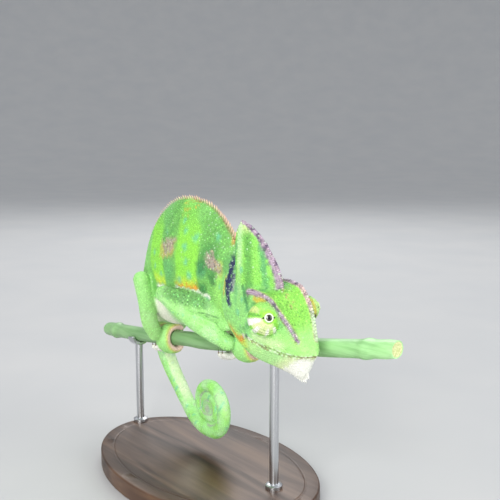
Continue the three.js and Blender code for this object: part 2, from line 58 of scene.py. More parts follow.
COAT = 0.22                           # height of the scales, by which the skin lies inside the solids
VOXEL = 0.36                          # grain of the joined skin
SKIN_FACES = 192000                   # triangles of the finished skin
STEM_R = 2.82
STEM_REAR, STEM_FRONT = -68.0, 84.0   # where the stem is cut, along x
BODY_LEAN = 8 * RAD                   # the trunk and the head lean to the animal's right
HEAD_ROLL = 8 * RAD
HEAD_AT = np.array([20.0, -10.0, 8.0])
TURRET_R = 5.2
TURRET_TIP = (1.15, 0.62)             # how far the dome's tip stands out, and how broad it is, as an angle
EYE_R = 2.2
EYE_OPENING = 0.84                    # radius of the opening in the lids
EYE_EDGE = EYE_OPENING / (TURRET_R + 1)    # the same as an angle at the turret's centre
LID_RIM = EYE_EDGE + 0.045            # angle of the thick rim round it
GRIP_R = 4.5                          # middle radius of the toes round the stem
TOE_GAP = 2.15                        # from toe to toe along the stem
COIL_AT = (33.9, -25.3)               # middle of the coil, in the plane of the tail
COIL_TURNS = 2.2
COIL_START = -92                      # where the coil leaves the straight tail, degrees
TAIL_TURN = 5.5 * RAD                 # the plane of the tail turns off the stem
COIL_WEB = (6.6, 1.25)                # radius and half thickness of the skin between the coil's turns


# ---- small helpers ------------------------------------------------------------------
def vec(x, y, z):
    return np.array([x, y, z], float)


def unit(v):
    v = np.asarray(v, float)
    return v / np.maximum(np.linalg.norm(v, axis=-1, keepdims=True), 1e-12)


def smooth(low, high, value):
    """0 below low, 1 above high and a soft step between; low may be the greater."""
    t = np.clip((np.asarray(value, float) - low) / (high - low), 0, 1)
    return t * t * (3 - 2 * t)


def hump(value, centre, width):
    """1 at the centre, falling off smoothly over the width."""
    return np.exp(-(((value - centre) / width) ** 2))


def srgb(red, green, blue):
    """A colour as it looks on a screen, 0 to 255, in linear light."""
    c = np.array([red, green, blue], float) / 255
    return np.where(c <= 0.04045, c / 12.92, ((c + 0.055) / 1.055) ** 2.4)


def profile(pairs):
    """A smooth curve through a few (x, value) pairs, flat beyond its ends."""
    xs, ys = np.array(pairs, float).T
    n = len(xs)
    before = np.maximum(np.arange(n) - 1, 0)
    after = np.minimum(np.arange(n) + 1, n - 1)
    slope = (ys[after] - ys[before]) / (xs[after] - xs[before])

    def value(x):
        x = np.clip(np.asarray(x, float), xs[0], xs[-1])
        i = np.clip(np.searchsorted(xs, x, side="left") - 1, 0, n - 2)
        h = xs[i + 1] - xs[i]
        t = (x - xs[i]) / h
        flat_a = 2 * t ** 3 - 3 * t ** 2 + 1
        flat_b = 3 * t ** 2 - 2 * t ** 3
        turn_a = t ** 3 - 2 * t ** 2 + t
        turn_b = t ** 3 - t ** 2
        return flat_a * ys[i] + flat_b * ys[i + 1] + h * (turn_a * slope[i] + turn_b * slope[i + 1])

    return value


def cubic(p1, p2, m1, m2, w):
    """A curve from p1 to p2 as w goes from 0 to 1; m1 and m2 are its slopes there."""
    return p1 + m1 * w + (-3 * p1 + 3 * p2 - 2 * m1 - m2) * w ** 2 + (2 * p1 - 2 * p2 + m1 + m2) * w ** 3


def curve_through(points):
    """A centripetal curve through points; its value at t = 0 to 1 gives each point the same share."""
    p = np.array(points, float)
    n = len(p)
    ext = np.vstack([2 * p[0] - p[1], p, 2 * p[-1] - p[-2]])
    step = np.sum((ext[1:] - ext[:-1]) ** 2, axis=1) ** 0.25

    def at(t):
        u = np.clip(np.asarray(t, float), 0, 1) * (n - 1)
        i = np.minimum(u.astype(int), n - 2)
        w = (u - i)[..., None]
        p0, p1, p2, p3 = ext[i], ext[i + 1], ext[i + 2], ext[i + 3]
        d0, d1, d2 = (step[i + k][..., None] for k in range(3))
        m1 = ((p1 - p0) / d0 - (p2 - p0) / (d0 + d1) + (p2 - p1) / d1) * d1
        m2 = ((p2 - p1) / d1 - (p3 - p1) / (d1 + d2) + (p3 - p2) / d2) * d1
        return cubic(p1, p2, m1, m2, w)

    return at


def wobble(points, size, seed, waves=6):
    """A soft uneven field over space, about -1 to 1, with swells about size across."""
    rng = np.random.default_rng(seed)
    total = np.zeros(len(points))
    for _ in range(waves):
        direction = unit(rng.normal(size=3))
        stretch, start = rng.uniform(0.7, 1.4), rng.uniform(0, 6.3)
        total += np.sin(points @ direction * (2 * math.pi / size) * stretch + start)
    return total / math.sqrt(waves)


# ---- meshes -------------------------------------------------------------------------
def shell(rows, cols, surface):
    """A closed net over surface(t, angle), where t = 0 and t = 1 are its two poles."""
    t = np.repeat(np.arange(1, rows) / rows, cols)
    angle = np.tile(2 * math.pi * np.arange(cols) / cols, rows - 1)
    ends = surface(np.array([0.0, 1.0]), np.array([0.0, 0.0]))
    points = np.vstack([ends[:1], surface(t, angle), ends[1:]])
    j = np.arange(cols)
    k = (j + 1) % cols
    last = len(points) - 1
    faces = [(0, 1 + b, 1 + a) for a, b in zip(j, k)]
    for i in range(rows - 2):
        low, high = 1 + i * cols, 1 + (i + 1) * cols
        faces += [(low + a, low + b, high + b, high + a) for a, b in zip(j, k)]
    top = 1 + (rows - 2) * cols
    faces += [(last, top + a, top + b) for a, b in zip(j, k)]
    return points, faces


def rounded(t, share):
    """Splits t into a body run s = 0 to 1 and two domed ends, each a share of t: s, size of ring, push."""
    s = np.clip((t - share) / (1 - 2 * share), 0, 1)
    near = np.clip((share - t) / share, 0, 1)
    far = np.clip((t - 1 + share) / share, 0, 1)
    lean = (near + far) * math.pi / 2
    return s, np.cos(lean), np.sin(lean) * np.where(near > 0, -1.0, 1.0)


def sweep(line, radius, rows, cols, ref, share, start=0.0):
    """A round-ended tube along a line, whose radius is a function of the same run from start to 1."""
    step = 0.002

    def surface(t, angle):
        s, ring, push = rounded(t, share)
        s = start + s * (1 - start)
        along = unit(line(np.minimum(s + step, 1)) - line(np.maximum(s - step, 0)))
        side = unit(np.cross(along, ref))
        up = unit(np.cross(side, along))
        r = radius(s)
        ring = np.where((t == 0) | (t == 1), 0, ring * r)
        return (line(s) + along * (push * r)[:, None] + side * (ring * np.cos(angle))[:, None]
                + up * (ring * np.sin(angle))[:, None])

    return shell(rows, cols, surface)


def tube(points, radii, rows, cols, grow=0.0, ref=(0.3, 1, 0.2)):
    """A round-ended tube through a few points, with a radius at each."""
    last = len(points) - 1
    radius = profile([(i / last, r) for i, r in enumerate(radii)])
    return sweep(curve_through(points), lambda s: radius(s) + grow, rows, cols, unit(ref), 0.12)


def add_mesh(name, points, faces):
    """A new object from millimetre points in the stem's frame."""
    mesh = bpy.data.meshes.new(name)
    mesh.from_pydata(np.asarray(points, float).tolist(), [], [tuple(int(v) for v in f) for f in faces])
    mesh.update()
    piece = bpy.data.objects.new(name, mesh)
    bpy.context.collection.objects.link(piece)
    return piece


def pick(*pieces):
    bpy.ops.object.select_all(action="DESELECT")
    for piece in pieces:
        piece.select_set(True)
    bpy.context.view_layer.objects.active = pieces[0]


def apply_modifiers(piece):
    pick(piece)
    for modifier in list(piece.modifiers):
        bpy.ops.object.modifier_apply(modifier=modifier.name)


def bevel(piece, width, segments, degrees):
    """Rounds the edges that are sharper than an angle."""
    modifier = piece.modifiers.new("Rounding", "BEVEL")
    modifier.width, modifier.segments = width, segments
    modifier.limit_method, modifier.angle_limit = "ANGLE", degrees * RAD
    apply_modifiers(piece)


def basic(add, name, **settings):
    """One of Blender's basic shapes, with its place and turn written into its points."""
    bpy.ops.object.select_all(action="DESELECT")
    add(**settings)
    piece = bpy.context.object
    piece.name = name
    bpy.ops.object.transform_apply(location=True, rotation=True, scale=True)
    return piece


def edit_all(piece):
    """Goes into edit mode with everything selected."""
    pick(piece)
    bpy.ops.object.mode_set(mode="EDIT")
    bpy.ops.mesh.select_all(action="SELECT")


def select_faces(piece, wanted):
    """Goes into edit mode with just the wanted(middle, normal) faces selected."""
    pick(piece)
    bpy.ops.object.mode_set(mode="EDIT")
    bpy.ops.mesh.select_mode(type="FACE")
    bpy.ops.mesh.select_all(action="DESELECT")
    work = bmesh.from_edit_mesh(piece.data)
    for face in work.faces:
        face.select_set(bool(wanted(face.calc_center_median(), face.normal)))
    bmesh.update_edit_mesh(piece.data)


def end_edit(weld=0.0, inside=False):
    """Joins points nearer than weld, turns all faces one way and leaves edit mode."""
    bpy.ops.mesh.select_all(action="SELECT")
    if weld:
        bpy.ops.mesh.remove_doubles(threshold=weld)
    bpy.ops.mesh.normals_make_consistent(inside=inside)
    bpy.ops.object.mode_set(mode="OBJECT")


def smooth_by_angle(piece, degrees):
    pick(piece)
    bpy.ops.object.shade_smooth_by_angle(angle=degrees * RAD)


def smooth_all(piece):
    pick(piece)
    bpy.ops.object.shade_smooth()


def wear(piece, *finishes):
    for finish in finishes:
        piece.data.materials.append(finish)


def points_of(piece):
    flat = np.empty(3 * len(piece.data.vertices))
    piece.data.vertices.foreach_get("co", flat)
    return flat.reshape(-1, 3)


def set_points(piece, points):
    piece.data.vertices.foreach_set("co", np.asarray(points, float).ravel())
    piece.data.update()


def to_model(piece):
    """Carries a finished mesh from the stem's millimetres to the model's metres."""
    set_points(piece, (points_of(piece) + ORIGIN) * MM)
    return piece


def keep_colour(piece, name, colours):
    layer = piece.data.color_attributes.new(name, "FLOAT_COLOR", "POINT")
    rgba = np.ones((len(piece.data.vertices), 4))
    rgba[:, :3] = colours
    layer.data.foreach_set("color", rgba.ravel())


def keep_value(piece, name, values):
    layer = piece.data.attributes.new(name, "FLOAT", "POINT")
    layer.data.foreach_set("value", np.asarray(values, float))


# ---- stem line ----------------------------------------------------------------------
stem_z = profile([(-80, -9.0), (-51, -6.3), (-28, -3.6), (-9, -0.7), (0, 0.1), (22, 3.7), (57, 9.6),
                  (90, 15.8)])
stem_y = profile([(-80, 0), (20, 0), (45, 1.2), (90, 2.2)])


def stem_at(x):
    x = np.asarray(x, float)
    return np.stack([x, stem_y(x), stem_z(x)], axis=-1)


def stem_slope(x):
    return math.atan2(float(stem_z(x + 3) - stem_z(x - 3)), 6)


# ---- trunk --------------------------------------------------------------------------
LEAN_UP = vec(0, -math.sin(BODY_LEAN), math.cos(BODY_LEAN))
LEAN_SIDE = vec(0, math.cos(BODY_LEAN), math.sin(BODY_LEAN))
LEAN_AT = vec(0, -1, 8)
ridge = curve_through([(32, 25), (28, 31), (20.9, 37.4), (11.4, 42.5), (-0.5, 43.6), (-12, 40.2),
                       (-22.4, 32.1), (-29.1, 22), (-31.3, 15.5), (-33.6, 8.5)])
belly = curve_through([(32.5, 3.6), (26, 3.0), (17, 2.2), (8, 0.8), (0, -1.2), (-8, -2.9), (-16, -3.9),
                       (-23, -2.4), (-29, 0.6), (-33.5, 4.2)])
body_wide = profile([(0, 6.6), (0.12, 8.2), (0.3, 9.6), (0.48, 10), (0.66, 8.6), (0.82, 5.9), (1, 4.0)])


def trunk_point(s, angle, grow=0.0, ring=1.0):
    """A point of the trunk: s runs from neck to tail, angle from the ridge round the flank."""
    top, low = ridge(s), belly(s)
    mid, half = (top + low) / 2, (top - low) / 2
    length = np.linalg.norm(half, axis=-1, keepdims=True)
    half = half * (length + np.asarray(grow, float)[..., None]) / length
    u = np.cos(angle)
    wide = (body_wide(s) + grow) * np.sin(angle) * (1 - 0.36 * u - 0.2 * u * u) * ring
    at = mid + half * (u * ring)[..., None]
    bend = vec(0, -3.2, 0) * smooth(14, 34, at[..., 0])[..., None]
    return (LEAN_AT + bend + vec(1, 0, 0) * at[..., :1] + LEAN_UP * at[..., 1:2]
            + LEAN_SIDE * wide[..., None])


def trunk_shell():
    rib_count, rib_rise = 13, 0.10

    def surface(t, angle):
        s, ring, push = rounded(t, 0.03)
        ribs = rib_rise * np.sin(s * 2 * math.pi * rib_count) * np.sin(angle) ** 2 * smooth(0.1, 0.3, s)
        points = trunk_point(s, angle, -COAT + ribs, ring)
        return points - vec(1, 0, 0) * (push * 1.5)[:, None]

    return shell(130, 150, surface)


# ---- head ---------------------------------------------------------------------------
# Each line of the head is a curve over the stations a: _b is how far out it lies, _c how high.
ROLL_UP = vec(0, -math.sin(HEAD_ROLL), math.cos(HEAD_ROLL))
ROLL_SIDE = vec(0, math.cos(HEAD_ROLL), math.sin(HEAD_ROLL))


def head_at(a, b, c):
    """A point of the head: a along to the snout, b to the animal's left, c up."""
    a, b, c = (np.asarray(v, float)[..., None] for v in (a, b, c))
    return HEAD_AT + vec(1, 0, 0) * a + ROLL_SIDE * b + ROLL_UP * c


crown = profile([(15, 17), (22, 20.5), (34.5, 20.3), (38, 17.2), (42.4, 10.0), (45, 5.9), (46.2, 4.4)])
crest_b = profile([(15, 3.6), (20, 4.8), (27, 5.7), (31, 6.1), (37.6, 5.9), (41, 4.9), (43.8, 2.8),
                   (46.2, 0.5)])
crest_c = profile([(15, 14.5), (20, 19), (26, 21.6), (35.4, 20.9), (38, 18.8), (41.3, 13.2), (44, 7.2),
                   (46.2, 4.5)])
cheek_b = profile([(15, 5.0), (20, 6.6), (25, 7.4), (33, 6.5), (38, 5.9), (41, 5.1), (43.5, 3.6),
                   (46.2, 0.6)])
cheek_c = profile([(15, 10.5), (20, 13), (28, 14), (38, 11.6), (43.5, 6.3), (46.2, 4.1)])
lip_b = profile([(15, 4.8), (20, 6.6), (25, 7.8), (28, 7.9), (33, 7.5), (38, 6.3), (42, 4.6), (44.5, 2.8),
                 (46.2, 0.6)])
lip_c = profile([(15, 7.5), (24, 7.8), (33, 6.0), (42, 4.1), (46.2, 3.6)])
jaw_b = profile([(15, 4.2), (20, 5.6), (26, 6.5), (33, 5.2), (38, 3.8), (42, 2.7), (44.4, 1.7), (46.2, 0.4)])
jaw_c = profile([(15, 3.4), (24, 1.6), (33, -0.1), (38, -0.8), (42, 0.6), (44.4, 2.2), (46.2, 3.3)])
throat = profile([(15, 1.4), (24, -2.1), (33, -3.8), (37.5, -4.9), (39.6, -5.3), (41, -4.0), (42.3, -2.4),
                  (43.8, 0.2), (45.4, 2.7), (46.2, 3.2)])


def head_section(a, k):
    """Half section at station a, from the crown (k = 0) over crest, cheek and lip to the throat (k = 1)."""
    b_stops = np.stack([0 * a, crest_b(a) * 0.62, crest_b(a), (crest_b(a) + cheek_b(a)) / 2, cheek_b(a),
                        lip_b(a), jaw_b(a), jaw_b(a) * 0.5, 0 * a], axis=-1)
    c_stops = np.stack([crown(a), (crown(a) + crest_c(a)) / 2 - 0.25, crest_c(a),
                        crest_c(a) * 0.55 + cheek_c(a) * 0.45, cheek_c(a), lip_c(a), jaw_c(a),
                        jaw_c(a) * 0.25 + throat(a) * 0.75, throat(a)], axis=-1)
    last = b_stops.shape[-1] - 1
    u = np.clip(k, 0, 1) * last
    i = np.minimum(u.astype(int), last - 1)
    w = u - i
    rows = np.arange(len(a))
    result = []
    for stops in (b_stops, c_stops):
        p0, p1 = stops[rows, np.maximum(i - 1, 0)], stops[rows, i]
        p2, p3 = stops[rows, i + 1], stops[rows, np.minimum(i + 2, last)]
        result.append(cubic(p1, p2, (p2 - p0) / 2, (p3 - p1) / 2, w))
    return result


def head_shell():
    rear, snout = 15.5, 46.0

    def surface(t, angle):
        s, ring, push = rounded(t, 0.04)
        a = rear + (snout - rear) * (1 - (1 - s) ** 1.35)
        turn = np.where(angle <= math.pi, angle / math.pi, 2 - angle / math.pi)
        side = np.where(angle <= math.pi, 1.0, -1.0)
        b, c = head_section(a, turn)
        mid = (crown(a) + throat(a)) / 2
        out = np.hypot(b, c - mid)
        shrink = (out - COAT) / np.maximum(out, 0.3) * ring
        return head_at(a + push * np.where(push < 0, 1.2, 0.35), side * b * shrink, mid + (c - mid) * shrink)

    return shell(110, 130, surface)


casque_rear = profile([(15, 16.5), (24, 16.6), (31, 16.5), (36, 17.1), (39.6, 19.3)])
casque_front = profile([(15, 35.5), (20.4, 34.9), (23.8, 34.7), (27.1, 33.6), (31, 31.3), (34.8, 28.5),
                        (38, 24.2), (39.7, 20.6)])
casque_wide = profile([(15, 7.0), (20, 6.9), (24, 6.2), (30, 4.5), (36, 2.5), (39.6, 1.0)])


def casque_point(c, angle, grow=0.0):
    """A point of the casque at height c; angle 0 is its front edge."""
    front, rear = casque_front(c) + grow, casque_rear(c) - grow
    a = (front + rear) / 2 + (front - rear) / 2 * np.cos(angle)
    thin = 0.26 + 0.74 * np.sin(angle / 2) ** 1.6
    wide = (casque_wide(c) + grow) * np.sin(angle) * thin * 1.12
    return a, wide, c


def casque_shell():
    foot, top = 16, 39.5

    def surface(t, angle):
        height = foot + (top - foot) * np.clip((t - 0.02) / 0.96, 0, 1) ** 0.92
        a, b, c = casque_point(height, angle, -COAT)
        b = b * (1 + (0.35 * hump(angle, 0, 0.35) + 0.35 * hump(angle, 2 * math.pi, 0.35)))
        a = np.where(t == 0, 26, np.where(t == 1, 20.0, a))
        b = np.where((t == 0) | (t == 1), 0, b)
        c = np.where(t == 0, foot - 0.5, np.where(t == 1, top + 0.3, c))
        return head_at(a, b, c)

    return shell(90, 110, surface)


# ---- eye turrets --------------------------------------------------------------------
GAZE = {"right": unit(vec(0.84, -0.48, 0.26)), "left": unit(vec(0.5, 0.84, 0.2))}
SIDE = {"right": -1, "left": 1}


def turret_axes(side):
    """Centre of a turret, and its aim, across and up directions."""
    aim = GAZE[side]
    across = unit(np.cross(aim, vec(0, 0, 1)))
    top = unit(np.cross(across, aim))
    height = 13.8 if side == "right" else 12.4
    return head_at(33.3, SIDE[side] * 6.6, height), aim, across, top


def turret_view(points, side):
    """Of each point, from a turret's centre: offset, distance, angle off the aim, way across and way up."""
    at, aim, across, top = turret_axes(side)
    away = points - at
    r = np.linalg.norm(away, axis=1)
    return away, r, np.arccos(np.clip(away @ aim / r, -1, 1)), away @ across, away @ top


def dome(polar):
    """Radius of a turret's plain dome, at an angle off its aim."""
    out, breadth = TURRET_TIP
    return TURRET_R - COAT + out * np.exp(-((polar / breadth) ** 2))


def turret_radius(polar, azimuth):
    """The lidded dome: it narrows to a thick round rim about the small opening."""
    r = dome(polar)
    r += 0.22 * hump(polar, LID_RIM, 0.036)
    r -= 0.12 * hump(polar, LID_RIM + 0.1, 0.045)
    folds = 0.05 * np.sin(polar * 30) * smooth(0.45, 0.6, polar) * (1 - smooth(1.2, 1.5, polar))
    slit = hump(np.sin(azimuth), 0, 0.11) * smooth(LID_RIM, LID_RIM + 0.05, polar)
    slit *= 1 - smooth(0.62, 0.8, polar)
    r += folds - 0.16 * slit
    return np.where(polar < EYE_EDGE, TURRET_R - 0.9, r)


def turret_shell(side):
    at, aim, across, top = turret_axes(side)

    def surface(t, angle):
        polar = math.pi * t
        r = dome(polar)
        out = r * np.sin(polar)
        return (at + aim * (r * np.cos(polar))[:, None] + across * (out * np.cos(angle))[:, None]
                + top * (out * np.sin(angle) * 0.97)[:, None])

    return shell(60, 72, surface)


# ---- neck ---------------------------------------------------------------------------
nape = curve_through([(21, -7.0, 40), (26, -8.2, 37.5), (30, -10, 34.6), (34, -12.6, 32), (39, -13.8, 30)])
gorge = curve_through([(24, -3.5, 11.6), (29, -5.2, 11.4), (34, -8, 9.8), (38, -9.6, 8.4), (43, -10, 8.2)])
neck_wide = profile([(0, 6.4), (0.35, 6.6), (0.65, 6.9), (1, 6.6)])


def neck_shell():
    def surface(t, angle):
        s, ring, push = rounded(t, 0.06)
        top, low = nape(s), gorge(s)
        mid, half = (top + low) / 2, (top - low) / 2
        length = np.linalg.norm(half, axis=-1, keepdims=True)
        half = half * (length - COAT) / length
        yaw = 0.5 * np.sin(math.pi * s)
        across = np.stack([np.sin(yaw), np.cos(yaw), 0 * yaw], axis=-1)
        u = np.cos(angle)
        wide = (neck_wide(s) - COAT) * np.sin(angle) * (1 - 0.22 * u) * ring
        return mid + half * (u * ring)[:, None] + across * wide[:, None] + vec(1, 0, 0) * push[:, None]

    return shell(60, 90, surface)


# ---- tail ---------------------------------------------------------------------------
TAIL_DIR = vec(math.cos(TAIL_TURN), -math.sin(TAIL_TURN), 0)
coil_radius = profile([(0, 8.3), (0.25, 9.3), (0.5, 8.4), (0.75, 6.9), (1, 3.6), (1.25, 4.8), (1.5, 4.25),
                       (1.75, 3.2), (2, 0.6), (2.2, 1.7)])


def tail_at(a, c):
    return vec(-35, 6.3, 0) + TAIL_DIR * a + vec(0, 0, 1) * c


def tail_points():
    points = [vec(-29, -2.2, 17), vec(-33.6, -0.8, 14), vec(-36.6, 2.6, 8), vec(-37.4, 5.8, 1.5)]
    points += [tail_at(a, c) for a, c in ((-1.8, -5), (0.6, -11.6), (5.8, -17.7), (11.4, -22.5), (16.7, -27),
                                          (22, -31), (27.5, -33.2))]
    steps = 24
    for i in range(steps + 1):
        w = COIL_TURNS * i / steps
        phi = (COIL_START + 360 * w) * RAD
        r = float(coil_radius(w))
        points.append(tail_at(COIL_AT[0] + r * math.cos(phi), COIL_AT[1] + r * math.sin(phi)))
    return points


TAIL_POINTS = tail_points()
TAIL_KNOTS = len(TAIL_POINTS) - 1
tail_line = curve_through(TAIL_POINTS)
tail_radius = profile([(k / TAIL_KNOTS, r) for k, r in (
    (0, 5.4), (1, 5.0), (2, 4.3), (3, 3.9), (4, 3.65), (6, 3.15), (8, 2.85), (11, 2.75), (13.7, 2.55),
    (16.5, 2.35), (19.2, 2.1), (21.9, 1.85), (24.6, 1.8), (27.4, 1.65), (30.1, 1.45), (32.8, 1.1),
    (TAIL_KNOTS, 0.75))])


def tail_shell():
    return sweep(tail_line, lambda s: tail_radius(s) - COAT, 420, 36, vec(0, 1, 0), 0.012, 0.4 / TAIL_KNOTS)


def coil_web_shell():
    """Thin skin between the pressed turns of the coil."""
    up = vec(0, 0, 1)
    centre, normal = tail_at(*COIL_AT), np.cross(TAIL_DIR, up)

    def surface(t, angle):
        broad, thick = COIL_WEB[0] * np.sin(math.pi * t), COIL_WEB[1] * np.cos(math.pi * t)
        return (centre + TAIL_DIR * (broad * np.cos(angle))[:, None] + up * (broad * np.sin(angle))[:, None]
                + normal * thick[:, None])

    return shell(30, 60, surface)


# ---- limbs --------------------------------------------------------------------------
LIMBS = {
    "right": {
        "hand": 24.9, "foot": -19.5,
        "upper_arm": [(21, -8, 16.2), (10.4, -13.8, 18), (-0.2, -17, 19.6)],
        "forearm": [(-0.2, -17, 19.6), (9.4, -14.6, 14.3), (17.4, -12, 10), (23.6, -8.2, 5.8)],
        "thigh": [(-27, -3.5, 10), (-22, -9.5, 17), (-16.9, -15.2, 22)],
        "shin": [(-16.9, -15.2, 22), (-17, -13.3, 14.2), (-19.1, -10.6, 5.5), (-20, -7.8, 0.4)],
    },
    "left": {
        "hand": 12.5, "foot": -28.5,
        "upper_arm": [(20, 3.5, 16.6), (10, 9.8, 17.6), (-3, 13.6, 17.5)],
        "forearm": [(-3, 13.6, 17.5), (3, 12.6, 12), (9, 10.8, 7.4), (12.5, 8.2, 4.2)],
        "thigh": [(-28, 1.5, 10), (-24, 7, 15), (-20.5, 12.6, 19.5)],
        "shin": [(-20.5, 12.6, 19.5), (-22, 11.8, 12), (-26, 10, 4), (-28.6, 7.8, -1)],
    },
}
LIMB_R = {"upper_arm": [5.1, 3.9, 2.9], "forearm": [2.95, 3.45, 3.3, 2.7],
          "thigh": [4.2, 3.5, 3.05], "shin": [3.1, 3.15, 3.15, 2.8]}
FEET = {"forefoot": "hand", "hindfoot": "foot"}
LIMB_LABELS = {side: [side + "_" + part for part in list(LIMB_R) + list(FEET)] for side in LIMBS}
REACH = 131                           # how far each toe bundle closes round the stem, degrees


class Grip:
    """The frame of one foot: round the stem at x, with the palm on the animal's outer side."""

    def __init__(self, x, side):
        self.at = stem_at(x)
        slope = stem_slope(x)
        self.along = vec(math.cos(slope), 0, math.sin(slope))
        self.up = vec(-math.sin(slope), 0, math.cos(slope))
        self.out = vec(0, side, 0)

    def ring(self, deg, r):
        deg = np.asarray(deg, float)[..., None] * RAD
        r = np.asarray(r, float)[..., None]
        return self.at + self.out * r * np.cos(deg) + self.up * r * np.sin(deg)


def toes():
    """End (1 over the stem, -1 under it) and shift along the stem of each toe."""
    for end, count in ((1, 3), (-1, 2)):
        for i in range(count):
            yield end, (i - (count - 1) / 2) * TOE_GAP


def mitten_shell(grip):
    """The palm and the fused roots of both toe bundles."""
    def surface(t, angle):
        run = 2 * t - 1
        deg = REACH * 0.84 * run
        end = np.sqrt(np.maximum(0, 1 - np.abs(run) ** 5))
        thick = 1.51 * end * (1 + 0.30 * np.cos(deg * RAD) ** 2)
        broad = (3.75 - COAT) * end * (1 - 0.2 * np.abs(run))
        centre = GRIP_R - 0.1 + 0.38 * np.cos(deg * RAD) ** 2
        radial = grip.ring(deg, np.ones_like(deg)) - grip.at
        lining = np.where(np.cos(angle) < 0, -np.abs(np.cos(angle)) ** 0.45, np.cos(angle))
        return (grip.ring(deg, centre) + radial * (thick * lining)[:, None]
                + grip.along * (broad * np.sin(angle))[:, None])

    return shell(60, 40, surface)


def toe_shell(grip, end, shift):
    degrees = np.array([50, 75, 100, REACH - 6]) * end
    points = grip.ring(degrees, GRIP_R - 0.2 + np.array([0.0, 0.05, 0.05, -0.15])) + grip.along * shift
    return tube(list(points), [1.3, 1.38, 1.32, 1.1], rows=24, cols=18, grow=-COAT * 0.5,
                ref=grip.along + vec(0, 0.01, 0))


def limb_shell(side, part):
    return tube([np.array(p, float) for p in LIMBS[side][part]], LIMB_R[part], rows=50, cols=40, grow=-COAT)


# ---- the joined skin ----------------------------------------------------------------
GRIPS = {(side, part): Grip(LIMBS[side][key], SIDE[side]) for side in LIMBS for part, key in FEET.items()}


def flesh_shells():
    """The closed nets of each part of the body, by the part's name."""
    shells = {"trunk": [trunk_shell()], "neck": [neck_shell()], "head": [head_shell()],
              "casque": [casque_shell()], "tail": [tail_shell(), coil_web_shell()]}
    for side in LIMBS:
        shells["turret_" + side] = [turret_shell(side)]
        for part in LIMB_R:
            shells[side + "_" + part] = [limb_shell(side, part)]
        for part in FEET:
            grip = GRIPS[side, part]
            shells[side + "_" + part] = [mitten_shell(grip)] + [toe_shell(grip, *toe) for toe in toes()]
    armpit = [vec(19.6, -9.4, 11.8), vec(23.2, -9.7, 11.8), vec(26.4, -9.9, 12.2)]
    shells["right_upper_arm"].append(tube(armpit, [1.4, 1.7, 1.4], rows=20, cols=24))
    return shells


def remesh(pieces, name):
    pick(*pieces)
    bpy.ops.object.join()
    skin = bpy.context.object
    skin.name = name
    modifier = skin.modifiers.new("Join", "REMESH")
    modifier.mode = "VOXEL"
    modifier.voxel_size = VOXEL
    apply_modifiers(skin)
    return skin


def refine_turrets(skin):
    """Finer faces on the two lidded domes."""
    work = bmesh.new()
    work.from_mesh(skin.data)
    for reach in (1.35, 0.66):
        co = np.array([v.co for v in work.verts])
        on_dome = np.zeros(len(co), bool)
        for side in SIDE:
            _, r, polar, _, _ = turret_view(co, side)
            on_dome |= (polar < reach) & (np.abs(r - TURRET_R - 0.4) < 1.2)
        edges = [e for e in work.edges if on_dome[e.verts[0].index] and on_dome[e.verts[1].index]]
        bmesh.ops.subdivide_edges(work, edges=edges, cuts=1, use_grid_fill=True)
        work.verts.index_update()
    bmesh.ops.triangulate(work, faces=[f for f in work.faces if len(f.verts) > 4])
    work.to_mesh(skin.data)
    work.free()
    skin.data.update()


def distances_to(shells, points, far=9.0):
    """Distance from each point to each part of the body, far where it is further."""
    result = {}
    for label, nets in shells.items():
        away = np.full(len(points), far)
        for net_points, faces in nets:
            tree = BVHTree.FromPolygons(net_points.tolist(), faces)
            low, high = net_points.min(0) - 3, net_points.max(0) + 3
            for i in np.flatnonzero(np.all((points > low) & (points < high), axis=1)):
                hit = tree.find_nearest(points[i], far)
                if hit[3] is not None and hit[3] < away[i]:
                    away[i] = hit[3]
        result[label] = away
    return result


def mesh_edges(mesh):
    flat = np.empty(2 * len(mesh.edges), int)
    mesh.edges.foreach_get("vertices", flat)
    return flat.reshape(-1, 2)


def relax(points, edges, share, times):
    """Moves each point towards the middle of its neighbours, by its share."""
    i, j = edges.T
    n = len(points)
    degree = np.maximum(np.bincount(i, minlength=n) + np.bincount(j, minlength=n), 1)
    for _ in range(times):
        mean = np.stack([np.bincount(i, points[j, k], n) + np.bincount(j, points[i, k], n)
                         for k in range(3)], 1)
        points = points + (mean / degree[:, None] - points) * (0.5 * share)[:, None]
    return points


def vertex_normals(mesh):
    flat = np.empty(3 * len(mesh.vertices))
    mesh.vertices.foreach_get("normal", flat)
    return flat.reshape(-1, 3)


def head_coordinates(points):
    away = points - HEAD_AT
    return away[:, 0], away @ ROLL_SIDE, away @ ROLL_UP


def trunk_coordinates(points):
    away = points - LEAN_AT
    return away[:, 0], away @ LEAN_SIDE, away @ LEAN_UP


NOSTRIL = (42.6, 7.6)                 # its place along and up the head
mouth_line = profile([(22, 7.2), (26.2, 6.6), (32.1, 5.3), (36.6, 4.5), (40.9, 3.5), (44.3, 2.9), (47, 2.7)])


def carve_face(skin, near):
    """Presses in the line of the mouth and the nostrils, and raises the lips and the nostrils' rims."""
    points = points_of(skin)
    a, b, c = head_coordinates(points)
    on_head = (near["head"] < 0.6) & (a > 20)
    off = c - mouth_line(a)
    line = smooth(24.5, 26.5, a) * on_head
    move = line * (-0.26 * hump(off, 0, 0.22) + 0.12 * hump(off, 0.62, 0.34) + 0.10 * hump(off, -0.6, 0.34))
    nostril = np.hypot(a - NOSTRIL[0], c - NOSTRIL[1]) * on_head + 9 * ~on_head
    move += (-0.5 * hump(nostril, 0, 0.38) + 0.12 * hump(nostril, 0.75, 0.25)) * (np.abs(b) > 1.5)
    set_points(skin, points + vertex_normals(skin.data) * move[:, None])


